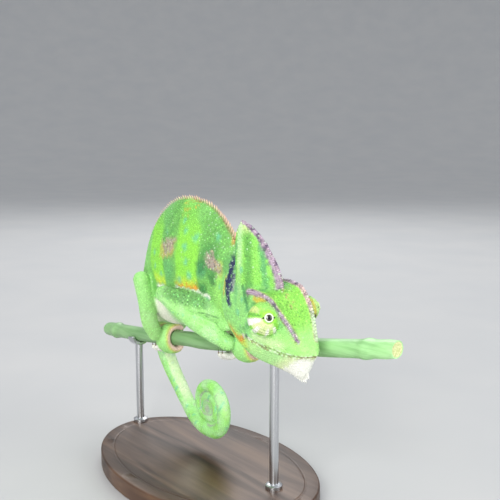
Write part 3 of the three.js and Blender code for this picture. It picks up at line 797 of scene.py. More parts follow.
def shape_turrets(skin):
    """Lays the fine points of each dome on its lidded shape."""
    points = points_of(skin)
    for side in SIDE:
        away, r, polar, x, y = turret_view(points, side)
        off = np.abs(r - dome(polar))
        weight = (1 - smooth(1.2, 1.45, polar)) * (1 - smooth(0.35, 0.7, off))
        weight = np.where(polar < 0.6, (off < 1.5) * 1.0, weight)
        target = turret_radius(polar, np.arctan2(y, x))
        points = turret_axes(side)[0] + away * ((r + (target - r) * weight) / r)[:, None]
    set_points(skin, points)


def thin_out(skin, near):
    """Bring the skin to its number of faces, and leave the eyes and the mouth as fine as they are."""
    a, _, c = head_coordinates(points_of(skin))
    fine = np.minimum(near["turret_right"], near["turret_left"]) < 0.6
    fine |= (near["head"] < 1) & (np.abs(c - mouth_line(a)) < 1.2) & (a > 22)
    group = skin.vertex_groups.new(name="Thin")
    group.add(np.flatnonzero(~fine).tolist(), 1.0, "REPLACE")
    skin.data.calc_loop_triangles()
    modifier = skin.modifiers.new("Thin", "DECIMATE")
    modifier.ratio = SKIN_FACES / len(skin.data.loop_triangles)
    modifier.vertex_group = "Thin"
    apply_modifiers(skin)
    skin.vertex_groups.clear()


def joint_softness(points, near):
    """How far the skin is rounded where two parts of the body meet, 0 to 1 at each point."""
    table = np.stack(list(near.values()))
    first, second = np.array(list(near))[np.argsort(table, axis=0)[:2]]
    fillet = 1 - smooth(0.5, 2.3, np.sort(table, axis=0)[1])
    small = np.minimum.reduce([near[k] for k in near if "foot" in k or "turret" in k])
    keep = smooth(0.3, 1.5, small)

    def between(one, other):
        return ((first == one) & (second == other)) | ((first == other) & (second == one))

    for side in LIMBS:
        for upper, lower, foot in (("upper_arm", "forearm", "forefoot"), ("thigh", "shin", "hindfoot")):
            upper, lower, sole = (side + "_" + part for part in (upper, lower, foot))
            fillet[between(upper, lower)] *= 0.25
            away = points - GRIPS[side, foot].at
            outside = smooth(GRIP_R + 0.2, GRIP_R + 1.4, np.hypot(away[:, 1], away[:, 2]))
            wrist = between(lower, sole)
            keep[wrist] = np.maximum(keep, outside)[wrist]
    return fillet * keep


def make_skin():
    """The skin as one mesh, and its distance at each point to each part of the body."""
    shells = flesh_shells()
    pieces = [add_mesh(label, *net) for label, nets in shells.items() for net in nets]
    skin = remesh(pieces, "chameleon_skin")
    refine_turrets(skin)
    points = points_of(skin)
    near = distances_to(shells, points)
    edges = mesh_edges(skin.data)
    points = relax(points, edges, joint_softness(points, near), 24)
    on_turret = np.minimum(near["turret_right"], near["turret_left"]) < 0.5
    points = relax(points, edges, np.where(on_turret, 0.4, 1.0), 3)
    set_points(skin, points)
    shape_turrets(skin)
    carve_face(skin, near)
    thin_out(skin, near)
    return skin, distances_to(shells, points_of(skin))


# ---- markings -----------------------------------------------------------------------
LIME = srgb(150, 232, 70)
GREEN = srgb(112, 184, 84)
DEEP = srgb(62, 138, 74)
TEAL = srgb(84, 172, 128)
TURQUOISE = srgb(112, 204, 168)
MINT = srgb(160, 232, 134)
PALE = srgb(206, 246, 190)
CREAM = srgb(250, 248, 222)
YELLOW = srgb(220, 232, 80)
ORANGE = srgb(236, 160, 48)
PINK = srgb(182, 162, 154)
ROSE = srgb(212, 150, 134)
LILAC = srgb(178, 156, 176)
PLUM = srgb(92, 72, 104)
NAVY = srgb(38, 44, 92)
WHITE = srgb(252, 250, 244)
SOLE = srgb(255, 220, 204)
FROST = srgb(196, 232, 190)


class Paint:
    """Colour and scale variation, laid in coats over a set of points."""

    def __init__(self, count, colour, fleck=0.12):
        self.colour = np.tile(colour, (count, 1))
        self.fleck = np.full(count, fleck)
        self.frost = np.full(count, 0.02)

    def lay(self, colour, mask, fleck=None, frost=None):
        """One more coat, as strong as its mask at each point."""
        mask = np.clip(mask, 0, 1)
        self.colour += (colour - self.colour) * mask[:, None]
        if fleck is not None:
            self.fleck += (fleck - self.fleck) * mask
        if frost is not None:
            self.frost += (frost - self.frost) * mask


def spot(a, c, at, radius, edge=0.35):
    """A round mark at at = (a, c)."""
    return 1 - smooth(radius * (1 - edge), radius * (1 + edge), np.hypot(a - at[0], c - at[1]))


def patch(a, c, corners, edge=0.5):
    """A mark filling a convex outline of (a, c) corners, given clockwise."""
    out = np.full(len(a), -99.0)
    for (a0, c0), (a1, c1) in zip(corners, corners[1:] + corners[:1]):
        length = math.hypot(a1 - a0, c1 - c0)
        out = np.maximum(out, ((a - a0) * (c0 - c1) + (c - c0) * (a1 - a0)) / length)
    return 1 - smooth(-edge, edge, out)


def stroke(a, c, stops, width, edge=0.4):
    """A mark along a bent line of (a, c) stops."""
    best = np.full(len(a), 99.0)
    for (a0, c0), (a1, c1) in zip(stops, stops[1:]):
        run = vec(a1 - a0, c1 - c0, 0)[:2]
        t = np.clip(((a - a0) * run[0] + (c - c0) * run[1]) / (run @ run), 0, 1)
        best = np.minimum(best, np.hypot(a - a0 - t * run[0], c - c0 - t * run[1]))
    return 1 - smooth(width * (1 - edge), width * (1 + edge), best)


# The front and the rear edge of the two lime bands, as curves over the height.
BAND_FRONT = (profile([(15, 14.3), (21, 13.9), (26, 13.6), (30, 13.0), (35, 12.0), (39, 9.8), (43, 6.6)]),
              profile([(15, 1.6), (20, 2.1), (25, 1.9), (30, 1.7), (34, 1.5), (39, 1.2), (43, -0.2)]))
BAND_REAR = (profile([(15, -4.4), (18, -3.9), (22, -5.7), (27, -7.3), (34, -9.8), (40, -12)]),
             profile([(15, -10.6), (18.5, -14.6), (23, -17.2), (30, -19.2), (34, -20)]))
TURQUOISE_SPOTS = (
    (3.7, 37.2, 0.8), (5.4, 34.1, 1.0), (11.4, 32.4, 1.2), (6.3, 29.0, 1.2), (7.7, 24.5, 1.1),
    (9.7, 20.2, 1.3), (4.4, 18.2, 1.1), (-13.7, 25.0, 1.0), (-12.0, 20.6, 1.0), (-7.4, 18.6, 0.9),
    (-5.9, 32.4, 0.8), (20.9, 33.0, 1.0), (18.5, 13.5, 0.9), (26.2, 19.0, 0.9))


def line_gap(points, line):
    """Distance from each point to the nearest of a line's close points."""
    gap = np.empty(len(points))
    few = 20000
    for start in range(0, len(points), few):
        part = points[start:start + few]
        gap[start:start + few] = np.linalg.norm(part[:, None] - line[None], axis=2).min(axis=1)
    return gap


def chest_crease_shade(a, b, c):
    """A mask for painted shade along two thin folds of skin where the right arm leaves the chest, dark in
    their creases.
    """
    upper = stroke(a, c, [(16.6, 9.7), (20.1, 9.0), (23.6, 7.9)], 0.2, 0.3)
    lower = stroke(a, c, [(18.7, 8.8), (20.3, 6.8), (22.6, 4.8)], 0.16, 0.3)
    return np.maximum(upper, lower * 0.8) * (b < -5)


def trunk_paint(points):
    """Green flanks with two lime bands, blue-green spots, two grey-pink blotches and a pale underside."""
    a, b, c = trunk_coordinates(points)
    soft = wobble(points, 5.5, 11)
    fine = wobble(points, 2.2, 12)
    gap = line_gap(np.stack([a, c], axis=1), ridge(np.linspace(0, 1, 120)))
    paint = Paint(len(points), GREEN * 0.8 + MINT * 0.2, 0.16)
    lay = paint.lay
    lay(MINT, smooth(0.2, 1.2, wobble(points, 9, 13)) * 0.3)
    lay(DEEP, smooth(13, 16, a) * (1 - smooth(22, 27, a)) * smooth(19, 24, c) * 0.38, 0.26)
    lay(GREEN * 0.68 + MINT * 0.24, smooth(12, 16, a) * smooth(22, 27, c) * 0.8, 0.2, 0.16)
    lay(MINT * 0.85, smooth(-14, -19, a) * smooth(16, 20, c) * 0.8, 0.1)
    lay(TEAL, spot(a, c, (-3.5, 20.5), 4.2, 0.5) * 0.35 + spot(a, c, (15.5, 22.5), 2.4, 0.6) * 0.6, 0.2)
    lay(TEAL * 0.5 + MINT * 0.5, smooth(-2, -8, a) * smooth(30, 36, c) * 0.5, 0.1)
    lay(DEEP, stroke(a, c, [(-10, 32), (-5, 37), (-2, 41)], 0.9, 0.8) * 0.35)
    lay(DEEP, stroke(a, c, [(-7, 31), (-3, 33), (-0.5, 37)], 0.8, 0.8) * 0.4)
    lay(LIME * 0.7 + PALE * 0.3, smooth(20, 25, a) * (1 - smooth(21, 25, c)) * 0.8, 0.12)
    for (front, rear), low in ((BAND_FRONT, 0), (BAND_REAR, 1.3)):
        middle, half = (front(c) + rear(c)) / 2, (front(c) - rear(c)) / 2
        band = 1 - smooth(half - 1.2, half + 0.9, np.abs(a - middle) + 0.5 * soft)
        level = c + low + 0.5 * fine
        foot = smooth(15.7, 16.9, level)
        lay(LIME * 0.93 + PALE * 0.05, band * foot * (0.95 - 0.55 * smooth(31, 41, c)), 0.09, 0.02)
        lay(YELLOW, band * foot * hump(level, 17.6, 1.5) * 0.7)
        lay(ORANGE, band * hump(level, 16.6, 0.55) * smooth(-1.1, -0.2, soft + 0.15 * a), 0.1)
        lay(WHITE, band * hump(level, 15.3, 0.6) * smooth(-0.9, -0.5, fine) * 0.95, 0.05)
    lay(GREEN * 0.85 + MINT * 0.1, smooth(32, 37, c) * smooth(3, -3, a) * 0.4, 0.1)
    specks = smooth(0.4, 0.9, wobble(points, 1.3, 14))
    lay(ORANGE, patch(a, c, [(-1, 44), (9, 44), (8, 38), (1, 38)]) * specks * 0.5)
    lay(WHITE, stroke(a, c + 0.5 * fine, [(12.6, 15.3), (19.4, 14.2)], 0.75, 0.5), 0.05)
    lay(DEEP, stroke(a, c, [(13.6, 17.6), (17.6, 16.2)], 1.1, 0.5) * 0.5, 0.2)
    for at_a, at_c, size in TURQUOISE_SPOTS:
        lay(TURQUOISE, spot(a + 0.3 * fine, c, (at_a, at_c), size, 0.6) * 0.72, 0.1)
    blotch_a, blotch_c = a + 0.5 * soft + 0.45 * fine, c + 0.8 * fine
    holes = 1 - 0.6 * smooth(0.15, 0.6, wobble(points, 1.2, 15))
    rear_blotch = [(-9.4, 28.8), (0.8, 31.4), (-0.4, 25.4), (-8.8, 24.2)]
    lay(ORANGE * 0.6 + PINK * 0.4, patch(blotch_a, blotch_c, rear_blotch, 0.8) * holes * 0.6)
    rear_core = [(-8.7, 28.9), (0.3, 31.4), (-1.0, 25.6), (-3.2, 24.4), (-4.6, 25.6), (-8.2, 24.0)]
    lay(PINK, patch(blotch_a, blotch_c, rear_core) * holes, 0.42, 0.35)
    lay(YELLOW, stroke(a, c, [(24, 24.4), (28, 22.4), (31, 21), (32, 16)], 1.8, 0.5) * 0.6)
    lay(ORANGE, stroke(a + 0.4 * fine, c, [(26, 24), (30, 22.4), (31.6, 19)], 0.8, 0.5) * 0.5)
    lay(DEEP, spot(a, c, (18.6, 26.8), 4.4, 0.3) * 0.5)
    front_blotch = spot(blotch_a, blotch_c, (19.2, 26.2), 2.3, 0.2)
    front_blotch += stroke(a, blotch_c, [(20.4, 25.6), (24.2, 23.4)], 1.5, 0.3)
    lay(ORANGE * 0.5 + PINK * 0.5, stroke(a, c + 0.3 * fine, [(23, 25), (27.4, 22.8)], 1.3, 0.4) * 0.8)
    lay(PINK, front_blotch * holes, 0.42, 0.35)
    for at, size in (((21.9, 21.0), 2.2), ((16.4, 16.8), 1.9), ((27.8, 25.6), 1.8), ((14.8, 24.0), 1.9)):
        lay(DEEP, spot(a + 0.5 * fine, c + 0.4 * soft, at, size, 0.35) * 0.7, 0.2)
    lay(ORANGE, stroke(a, c, [(26.6, 33.2), (27.0, 31.6)], 0.6, 0.7) * 0.5)
    lay(PALE, (1 - smooth(3.0, 10.0, c + soft)) * 0.8, 0.08)
    lay(YELLOW * 0.08 + WHITE * 0.92, (1 - smooth(7.0, 9.6, c)) * smooth(-7, -11, a), 0.03, 0)
    # Painted shade: dark lines in the creases where the right arm leaves the chest.
    lay(DEEP * 0.7, chest_crease_shade(a, b, c) * 0.75, 0.05, 0)
    lay(LILAC * 0.7 + MINT * 0.3, smooth(1.5, 0.5, gap) * smooth(-6, -14, a) * 0.8)
    lay(ROSE * 0.85, smooth(0.5, 0.15, gap) * smooth(-4, 3, a) * 0.55, 0.25)
    return paint


def neck_paint(points):
    """Pale green with a dark blue bent mark behind the head."""
    a, _, c = trunk_coordinates(points)
    fine = wobble(points, 1.5, 21)
    paint = Paint(len(points), MINT * 0.92, 0.14)
    lay = paint.lay
    lay(DEEP, spot(a, c, (27.8, 26), 3.2, 0.5) * 0.5)
    lay(LIME, smooth(30, 26, a) * smooth(25, 21, c) * 0.6)
    lay(ORANGE, stroke(a, c, [(31.0, 22.6), (32.0, 18.6)], 0.8, 0.6) * 0.45)
    edge = a + 0.35 * fine
    upper = stroke(edge, c, [(27.8, 30.6), (30.3, 26.7), (32.6, 24.2)], 0.85, 0.3)
    broad = stroke(edge, c + 0.4 * fine, [(33.2, 23.2), (34.6, 20.6)], 1.9, 0.25)
    lower = stroke(edge, c, [(34.4, 20.2), (35.2, 18.0), (36.2, 16.4)], 1.05, 0.3)
    pale_side = stroke(edge, c, [(35.6, 24.0), (36.5, 21.0)], 1.3, 0.4)
    lay(LILAC * 0.6 + TEAL * 0.4, pale_side, 0.4, 0.4)
    lay(NAVY, np.maximum(np.maximum(upper, lower), broad * smooth(-0.9, -0.4, fine)), 0.35, 0.2)
    lay(NAVY * 1.2, pale_side * smooth(0.25, 0.6, wobble(points, 1.0, 22)) * 0.9, 0.3)
    lay(YELLOW, stroke(a, c, [(34.8, 9), (35.6, 7.4), (36.8, 5.6)], 1.5, 0.6) * 0.6)
    lay(ORANGE, stroke(a, c, [(35.8, 8.9), (36.4, 7.4), (37.4, 6.2)], 0.8, 0.5) * 0.8)
    lay(MINT, smooth(14, 10, c) * 0.5)
    return paint


CREST_STEPS = np.linspace(0, 1, 60)
LEFT_CREST_A = 24 + 20 * CREST_STEPS
right_crest = curve_through([(26.0, -5.5, 20.3), (28.7, -6.1, 20.7), (33.6, -6.4, 20.1), (36.1, -6.3, 19.2),
                             (37.7, -6.1, 17.3), (39.4, -5.7, 15.0), (41.2, -4.9, 12.2), (43.0, -3.7, 7.9)])
CREST_LINES = {"right": right_crest(CREST_STEPS),
               "left": np.stack([LEFT_CREST_A, crest_b(LEFT_CREST_A) - 0.15, crest_c(LEFT_CREST_A) - 0.1], 1)}


def crest_gap(a, b, c):
    """Distance from the nearer of the two crests over the eyes."""
    gap = np.full(len(a), 9.0)
    for side, line in CREST_LINES.items():
        rows = np.flatnonzero((a > 21) & (c > 4) & (c < 25) & (b * SIDE[side] > 0))
        gap[rows] = line_gap(np.stack([a, b, c], axis=1)[rows], line)
    return gap


def head_paint(points):
    """Green head with streaked casque, purple crests, yellow cheek and orange corner of the mouth."""
    a, b, c = head_coordinates(points)
    side = np.abs(b)
    fine = wobble(points, 1.8, 31)
    soft = wobble(points, 4.5, 32)
    paint = Paint(len(points), MINT * 0.94, 0.14)
    lay = paint.lay
    paint.frost += 0.01
    lay(TEAL, smooth(0.1, 1.0, soft) * 0.35)
    casque = smooth(20.5, 23, c)
    lay(LIME * 0.95, casque * 0.6, 0.12)
    for colour, stops, width in (
            (DEEP * 0.6 + GREEN * 0.4, [(22.8, 37.5), (24.6, 30), (25.6, 23), (25.6, 18)], 1.3),
            (TEAL * 0.8, [(27.4, 35.5), (29.6, 28), (31, 21.5)], 0.7),
            (TEAL * 0.85, [(18.6, 33), (18.4, 24), (19, 16)], 0.8)):
        lay(colour, stroke(a + 0.3 * fine, c, stops, width, 0.6) * 0.65, 0.18)
    lay(YELLOW * 0.4 + PALE * 0.6, smooth(35.5, 38, c) * 0.85)
    rear_edge = stroke(a, c, [(19.8, 38), (20.8, 32), (21.4, 26), (21.2, 20)], 1.2, 0.7)
    lay(PALE, rear_edge * (0.25 + 0.4 * smooth(23, 29, c)))
    brow = smooth(31, 34, a) * smooth(7.5, 10, c) * (side < crest_b(a)) * (c > 0.6 * (crest_c(a) - 8) + 8)
    lay(LIME * 0.82 + PALE * 0.06, brow * 0.9, 0.26, 0.0)
    lay(GREEN * 0.9, smooth(1.6, 0.2, crest_b(a) - side) * brow * 0.5, 0.25)
    lay(GREEN * 0.95, stroke(a, c, [(29, 20.8), (33.4, 20.4)], 1.4, 0.6) * (side < 5) * 0.4)
    seam = smooth(0.9, 0.4, side) * smooth(33, 34, a) * (1 - smooth(38.5, 39.5, a))
    lay(PINK * 0.6 + ORANGE * 0.4, seam * smooth(0.0, 0.5, wobble(points, 1.1, 35)) * 0.7)
    lay(DEEP * 0.75 + TEAL * 0.15, stroke(a, c, [(23.2, 21.4), (24.6, 18.5), (26.6, 15.4)], 0.6, 0.5) * 0.8)
    for at, size in (((22.4, 26.3), 0.8), ((20.9, 13.6), 1.0), ((23, 17.6), 0.7), ((29.2, 9.0), 0.7)):
        lay(TURQUOISE, spot(a, c, at, size, 0.6) * 0.7)
    lay(DEEP, (spot(a, c, (26.5, 10.6), 1.1, 0.5) + spot(a, c, (24.4, 9.4), 0.9, 0.6)) * 0.5)
    lay(LIME * 0.6 + PALE * 0.4, smooth(13, 8, c) * smooth(27, 33, a) * 0.85, 0.08)
    lay(LIME * 0.3 + CREAM * 0.7, stroke(a, c, [(29, 8.2), (33, 7.6), (38, 6.6)], 1.3, 0.8) * 0.6)
    lay(YELLOW, stroke(a, c, [(16.4, 8), (18.5, 4.6), (25, 4.6), (29, 4.0)], 1.9, 0.6) * 0.75)
    lay(ORANGE, stroke(a, c, [(16.2, 7.9), (17.2, 5.2), (20.3, 4.7), (22.6, 6.0)], 0.85, 0.5) * 0.95)
    lay(PINK * 0.5 + WHITE * 0.5, spot(a, c, (23.4, 6.9), 0.8, 0.5) * 0.9)
    lay(PLUM, spot(a, c, (25.2, 7.2), 0.75, 0.4) * 0.75)
    lay(WHITE, spot(a, c, (26.4, 6.7), 0.6, 0.5) * 0.9)
    below = smooth(0.2, -1.0, c - mouth_line(a)) * smooth(22, 27, a)
    lay(LIME * 0.35 + PALE * 0.65, below * 0.9, 0.06, 0)
    forward = a - 1.5 * c
    lay(YELLOW * 0.25 + CREAM * 0.75, below * smooth(31.5, 37.5, forward) * 0.75, 0.05, 0)
    lay(WHITE, below * smooth(37.2, 39.6, forward + 0.4 * fine) * (1 - 0.6 * smooth(43.8, 45, a)), 0.02, 0)
    off = c - mouth_line(a)
    lips = (hump(off, 0.5, 0.35) + hump(off, -0.45, 0.3)) * smooth(25, 27, a)
    dots = wobble(points, 1.0, 33)
    lay(ROSE * 0.4, lips * smooth(0.2, 0.6, dots) * 0.8, 0.2, 0)
    lay(WHITE * 0.9, lips * smooth(-0.05, -0.4, dots) * 0.7, 0.1, 0)
    lay(ROSE * 0.35, hump(off, 0, 0.16) * smooth(26, 28, a) * smooth(-0.5, 0.4, dots) * 0.7)
    lay(ROSE * 0.6, hump(off, 0.2, 0.3) * smooth(41, 43.5, a) * 0.7)
    gap = crest_gap(a, b, c)
    front = casque_front(c) - a
    ridge_band = (1 - smooth(1.3, 2.1, front)) * smooth(-1.3, -0.6, front)
    ridge_band *= smooth(20.6, 21.4, c) * (1 - smooth(2.2, 2.9, side))
    broad = 1.0 - 0.3 * smooth(39, 42, a) + 0.3 * (b > 0)
    far_side = smooth(33, 37, a) * (b > 0)
    purple = np.maximum(1 - smooth(0.62, 0.98, gap / broad), ridge_band)
    lay(LILAC, purple, 0.16, 0.1)
    lay(SOLE * 0.75 + LILAC * 0.2, purple * far_side * 0.75)
    lay(PALE, purple * smooth(39.5, 41.5, a) * (b > 0) * 0.7)
    patches = smooth(0.05, 0.7, wobble(points, 2.6, 34) + 0.4 * wobble(points, 1.1, 36))
    lay(PLUM, purple * patches * (0.85 - 0.5 * far_side), 0.25)
    lay(ROSE, hump(gap, 0.95, 0.18) * 0.35)
    over_eye = stroke(a, c + 0.25 * fine, [(29.4, 18.6), (33.4, 19.0)], 0.75, 0.5) * (side > 4.5)
    lay(ORANGE * 0.6 + YELLOW * 0.4, over_eye * 0.85)
    lay(DEEP, stroke(a, c, [(28.4, 17.4), (30.4, 17.6)], 0.4, 0.6) * (side > 4.5) * 0.6)
    return paint


def turret_paint(points, side):
    """Lime lids with pale rays round a white rim."""
    _, _, polar, x, y = turret_view(points, side)
    azimuth = np.arctan2(y, x * SIDE[side]) / RAD
    paint = Paint(len(points), LIME * 0.97 + MINT * 0.03, 0.12)
    lay = paint.lay
    out = smooth(0.3, 0.5, polar)

    def ray(middle, width):
        turn = np.abs((azimuth - middle + 180) % 360 - 180)
        return 1 - smooth(width * 0.7, width * 1.2, turn)

    lower = ray(-118, 62) * smooth(0.24, 0.34, polar) * (1 - smooth(1.1, 1.25, polar))
    lay(PALE, ray(60, 70) * out * 0.25)
    lay(YELLOW * 0.35 + CREAM * 0.65, lower * 0.85, 0.06)
    lay(YELLOW * 0.5 + CREAM * 0.5, ray(143, 13) * out * smooth(0.4, 0.8, polar) * 0.7)
    lay(GREEN, ray(163, 6) * out * 0.8)
    lay(WHITE, (ray(-171, 13) + ray(-136, 9) * smooth(0.6, 0.8, polar)) * out * 0.97, 0.03)
    lay(WHITE, (ray(-93, 6) + ray(-60, 7)) * smooth(0.45, 0.7, polar) * 0.9, 0.04)
    speckle = smooth(0.1, 0.5, wobble(points, 1.3, 45))
    speckle *= smooth(0.6, 0.8, polar) * (1 - smooth(1.0, 1.15, polar))
    lay(GREEN * 0.9, ray(-113, 12) * speckle * 0.7)
    lay(LIME, (ray(-76, 7) + ray(-45, 8)) * smooth(0.5, 0.8, polar) * 0.6)
    lay(PALE, ray(5, 38) * smooth(0.4, 0.7, polar) * 0.6)
    lay(DEEP * 0.6 + YELLOW * 0.3, hump(polar, 1.22, 0.06) * ray(-100, 45) * 0.6)
    lay(WHITE, hump(polar, LID_RIM, 0.038), 0.02, 0)
    lay(YELLOW * 0.6 + GREEN * 0.4, hump(polar, LID_RIM + 0.1, 0.035) * 0.5)
    # Painted shade: the slit in the lids is painted dark green inside its groove, near the opening.
    slit = 1 - smooth(0.04, 0.13, np.abs(np.sin(azimuth * RAD)))
    slit *= smooth(LID_RIM + 0.05, LID_RIM + 0.08, polar)
    lay(DEEP * 0.7, slit * (1 - smooth(0.34, 0.42, polar)) * 0.75, 0.04)
    if side == "left":
        a, b, c = head_coordinates(points)
        streak = hump(b, 8.4, 0.8) * smooth(35, 36.5, a)
        lay(ORANGE * 0.5 + YELLOW * 0.5, streak * 0.85)
        lay(PLUM * 0.5, streak * smooth(12.2, 11.0, c))
        lay(YELLOW * 0.4 + PALE * 0.6, smooth(8.9, 9.6, b) * smooth(35, 36.5, a) * 0.7)
    lay(NAVY * 0.2, smooth(LID_RIM - 0.035, LID_RIM - 0.06, polar), 0.0, 0)
    return paint


def tail_paint(points):
    """Pale mottled green, with greyish lines of painted shade in the grooves where the turns of the coil
    touch.
    """
    fine = wobble(points, 3.0, 41)
    soft = wobble(points, 7.0, 42)
    paint = Paint(len(points), MINT * 0.8 + PALE * 0.2, 0.1)
    lay = paint.lay
    lay(PALE, smooth(0.2, 1.0, soft) * 0.5)
    lay(LIME, smooth(-0.1, -0.9, soft) * 0.45)
    lay(TURQUOISE, smooth(0.75, 1.25, fine) * 0.6)
    lay(LILAC, smooth(1.0, 1.5, wobble(points, 2.6, 43)) * 0.3)
    hang = np.array(TAIL_POINTS[3:10])
    middle = np.interp(-points[:, 2], -hang[:, 2], (hang - hang[0]) @ TAIL_DIR)
    offset = (points - hang[0]) @ TAIL_DIR - middle
    centre = tail_at(*COIL_AT)
    x, z = (points - centre) @ TAIL_DIR, points[:, 2] - centre[2]
    away = np.hypot(x, z)
    straight = smooth(10.5, 13, away) * smooth(-28, -24, points[:, 2])
    lay(LIME * 0.7 + YELLOW * 0.3, smooth(-0.3, -1.8, offset) * straight * 0.5)
    lay(CREAM, smooth(2.2, 3.0, offset) * straight * 0.5, 0.05)
    lay(WHITE * 0.97, hump(points[:, 2], -1.5, 4.5) * smooth(-36, -33, points[:, 0]) * 0.8, 0.03)
    lay(LILAC, (1 - smooth(0.8, 2.4, away)) * 0.55)
    turn = (np.arctan2(z, x) / RAD - COIL_START) % 360 / 360
    # Painted shade: a greyish lilac line along the groove where each turn of the coil touches the next.
    for lap in (0, 1):
        outer, inner = coil_radius(turn + lap), coil_radius(np.minimum(turn + lap + 1, COIL_TURNS))
        groove = (outer + inner) / 2 + 0.1
        lay(LILAC, hump(away, groove, 0.28) * (away < 8) * 0.65)
    lay(GREEN, (points[:, 2] > 4) * 0.4, 0.16)
    return paint


def leg_paint(points, part):
    """Pale green, darker on the right upper arm."""
    fine = wobble(points, 1.8, 51)
    soft = wobble(points, 5.0, 52)
    paint = Paint(len(points), MINT * 0.6 + LIME * 0.2 + PALE * 0.2, 0.1)
    lay = paint.lay
    lay(PALE, smooth(0.1, 1.4, soft) * 0.3)
    lay(GREEN, smooth(0.6, 1.4, fine) * 0.3)
    if part == "upper_arm":
        a, b, c = trunk_coordinates(points)
        upper = smooth(12.2, 14.0, c + 0.16 * (a - 4)) * smooth(-1.5, 2, a) * (1 - smooth(18, 23, a))
        lay(GREEN * 0.6 + TEAL * 0.15, upper * 0.75, 0.45)
        # Painted shade: dark lines in the creases where the right arm leaves the chest.
        lay(DEEP * 0.7, chest_crease_shade(a, b, c) * 0.75, 0.05, 0)
    if part in ("thigh", "shin"):
        # Painted light: thigh and shin are painted paler low down, standing in for light on their lower,
        # shaded parts.
        lay(LIME * 0.4 + PALE * 0.6, smooth(14, 6, points[:, 2]) * 0.5)
    if part == "forearm":
        lay(PALE, smooth(-0.5, 0.5, soft) * 0.3)
        lay(TURQUOISE, smooth(0.9, 1.3, wobble(points, 2.6, 53)) * 0.4)
    return paint


def foot_paint(points, side, part):
    """Pale green with warm soles and tips, and a darker line of painted shade between the toes."""
    grip = GRIPS[side, part]
    away = points - grip.at
    r = np.hypot(away @ grip.out, away @ grip.up)
    paint = Paint(len(points), MINT * 0.55 + LIME * 0.2 + PALE * 0.25, 0.1)
    lay = paint.lay
    lay(YELLOW, hump(r, GRIP_R + 0.7, 0.45) * 0.5)
    lay(ORANGE * 0.5 + SOLE * 0.5, hump(r, GRIP_R + 0.25, 0.4) * 0.7)
    angle = np.arctan2(away @ grip.up, away @ grip.out)
    tips = smooth(100 * RAD, 118 * RAD, np.abs(angle))
    sole, tip_colour = 1, SOLE
    if side == "left":
        sole, tip_colour = 0.3, WHITE
        tips = np.maximum(tips, smooth(-60 * RAD, -90 * RAD, angle))
    lay(SOLE, smooth(GRIP_R + 0.25, GRIP_R - 0.1, r) * sole, 0.06)
    lay(tip_colour, tips, 0.05)
    # Painted shade: a darker pink line in the gaps between the toes.
    shift = np.abs(away @ grip.along)
    groove = np.where(angle > 0, hump(shift, TOE_GAP / 2, 0.22), hump(shift, 0, 0.22))
    lay(PINK * 0.8, groove * smooth(55 * RAD, 75 * RAD, np.abs(angle)) * 0.6)
    return paint


PAINTS = {"trunk": trunk_paint, "neck": neck_paint, "head": head_paint, "casque": head_paint,
          "tail": tail_paint}


def part_paint(label, points):
    """The paint of one part of the body, by its name, such as tail, turret_left or right_shin."""
    side, _, part = label.partition("_")
    if label in PAINTS:
        return PAINTS[label](points)
    if side == "turret":
        return turret_paint(points, part)
    return foot_paint(points, side, part) if part in FEET else leg_paint(points, part)


def paint_skin(points, near):
    """At each point the colour, and the fleck and frost of its scales; neighbours' paints run together."""
    closest = np.stack(list(near.values())).min(axis=0)
    run = 0.35
    n = len(points)
    colour, grain, total = np.zeros((n, 3)), np.zeros((n, 2)), np.zeros(n)
    for label, away in near.items():
        weight = np.exp(-((away - closest) / run))
        if label in ("head", "casque"):
            weight *= 2
        rows = np.flatnonzero(weight > 0.01)
        if not len(rows):
            continue
        paint = part_paint(label, points[rows])
        colour[rows] += paint.colour * weight[rows, None]
        grain[rows] += np.stack([paint.fleck, paint.frost], 1) * weight[rows, None]
        total[rows] += weight[rows]
    return np.clip(colour / total[:, None], 0, 1), grain / total[:, None]


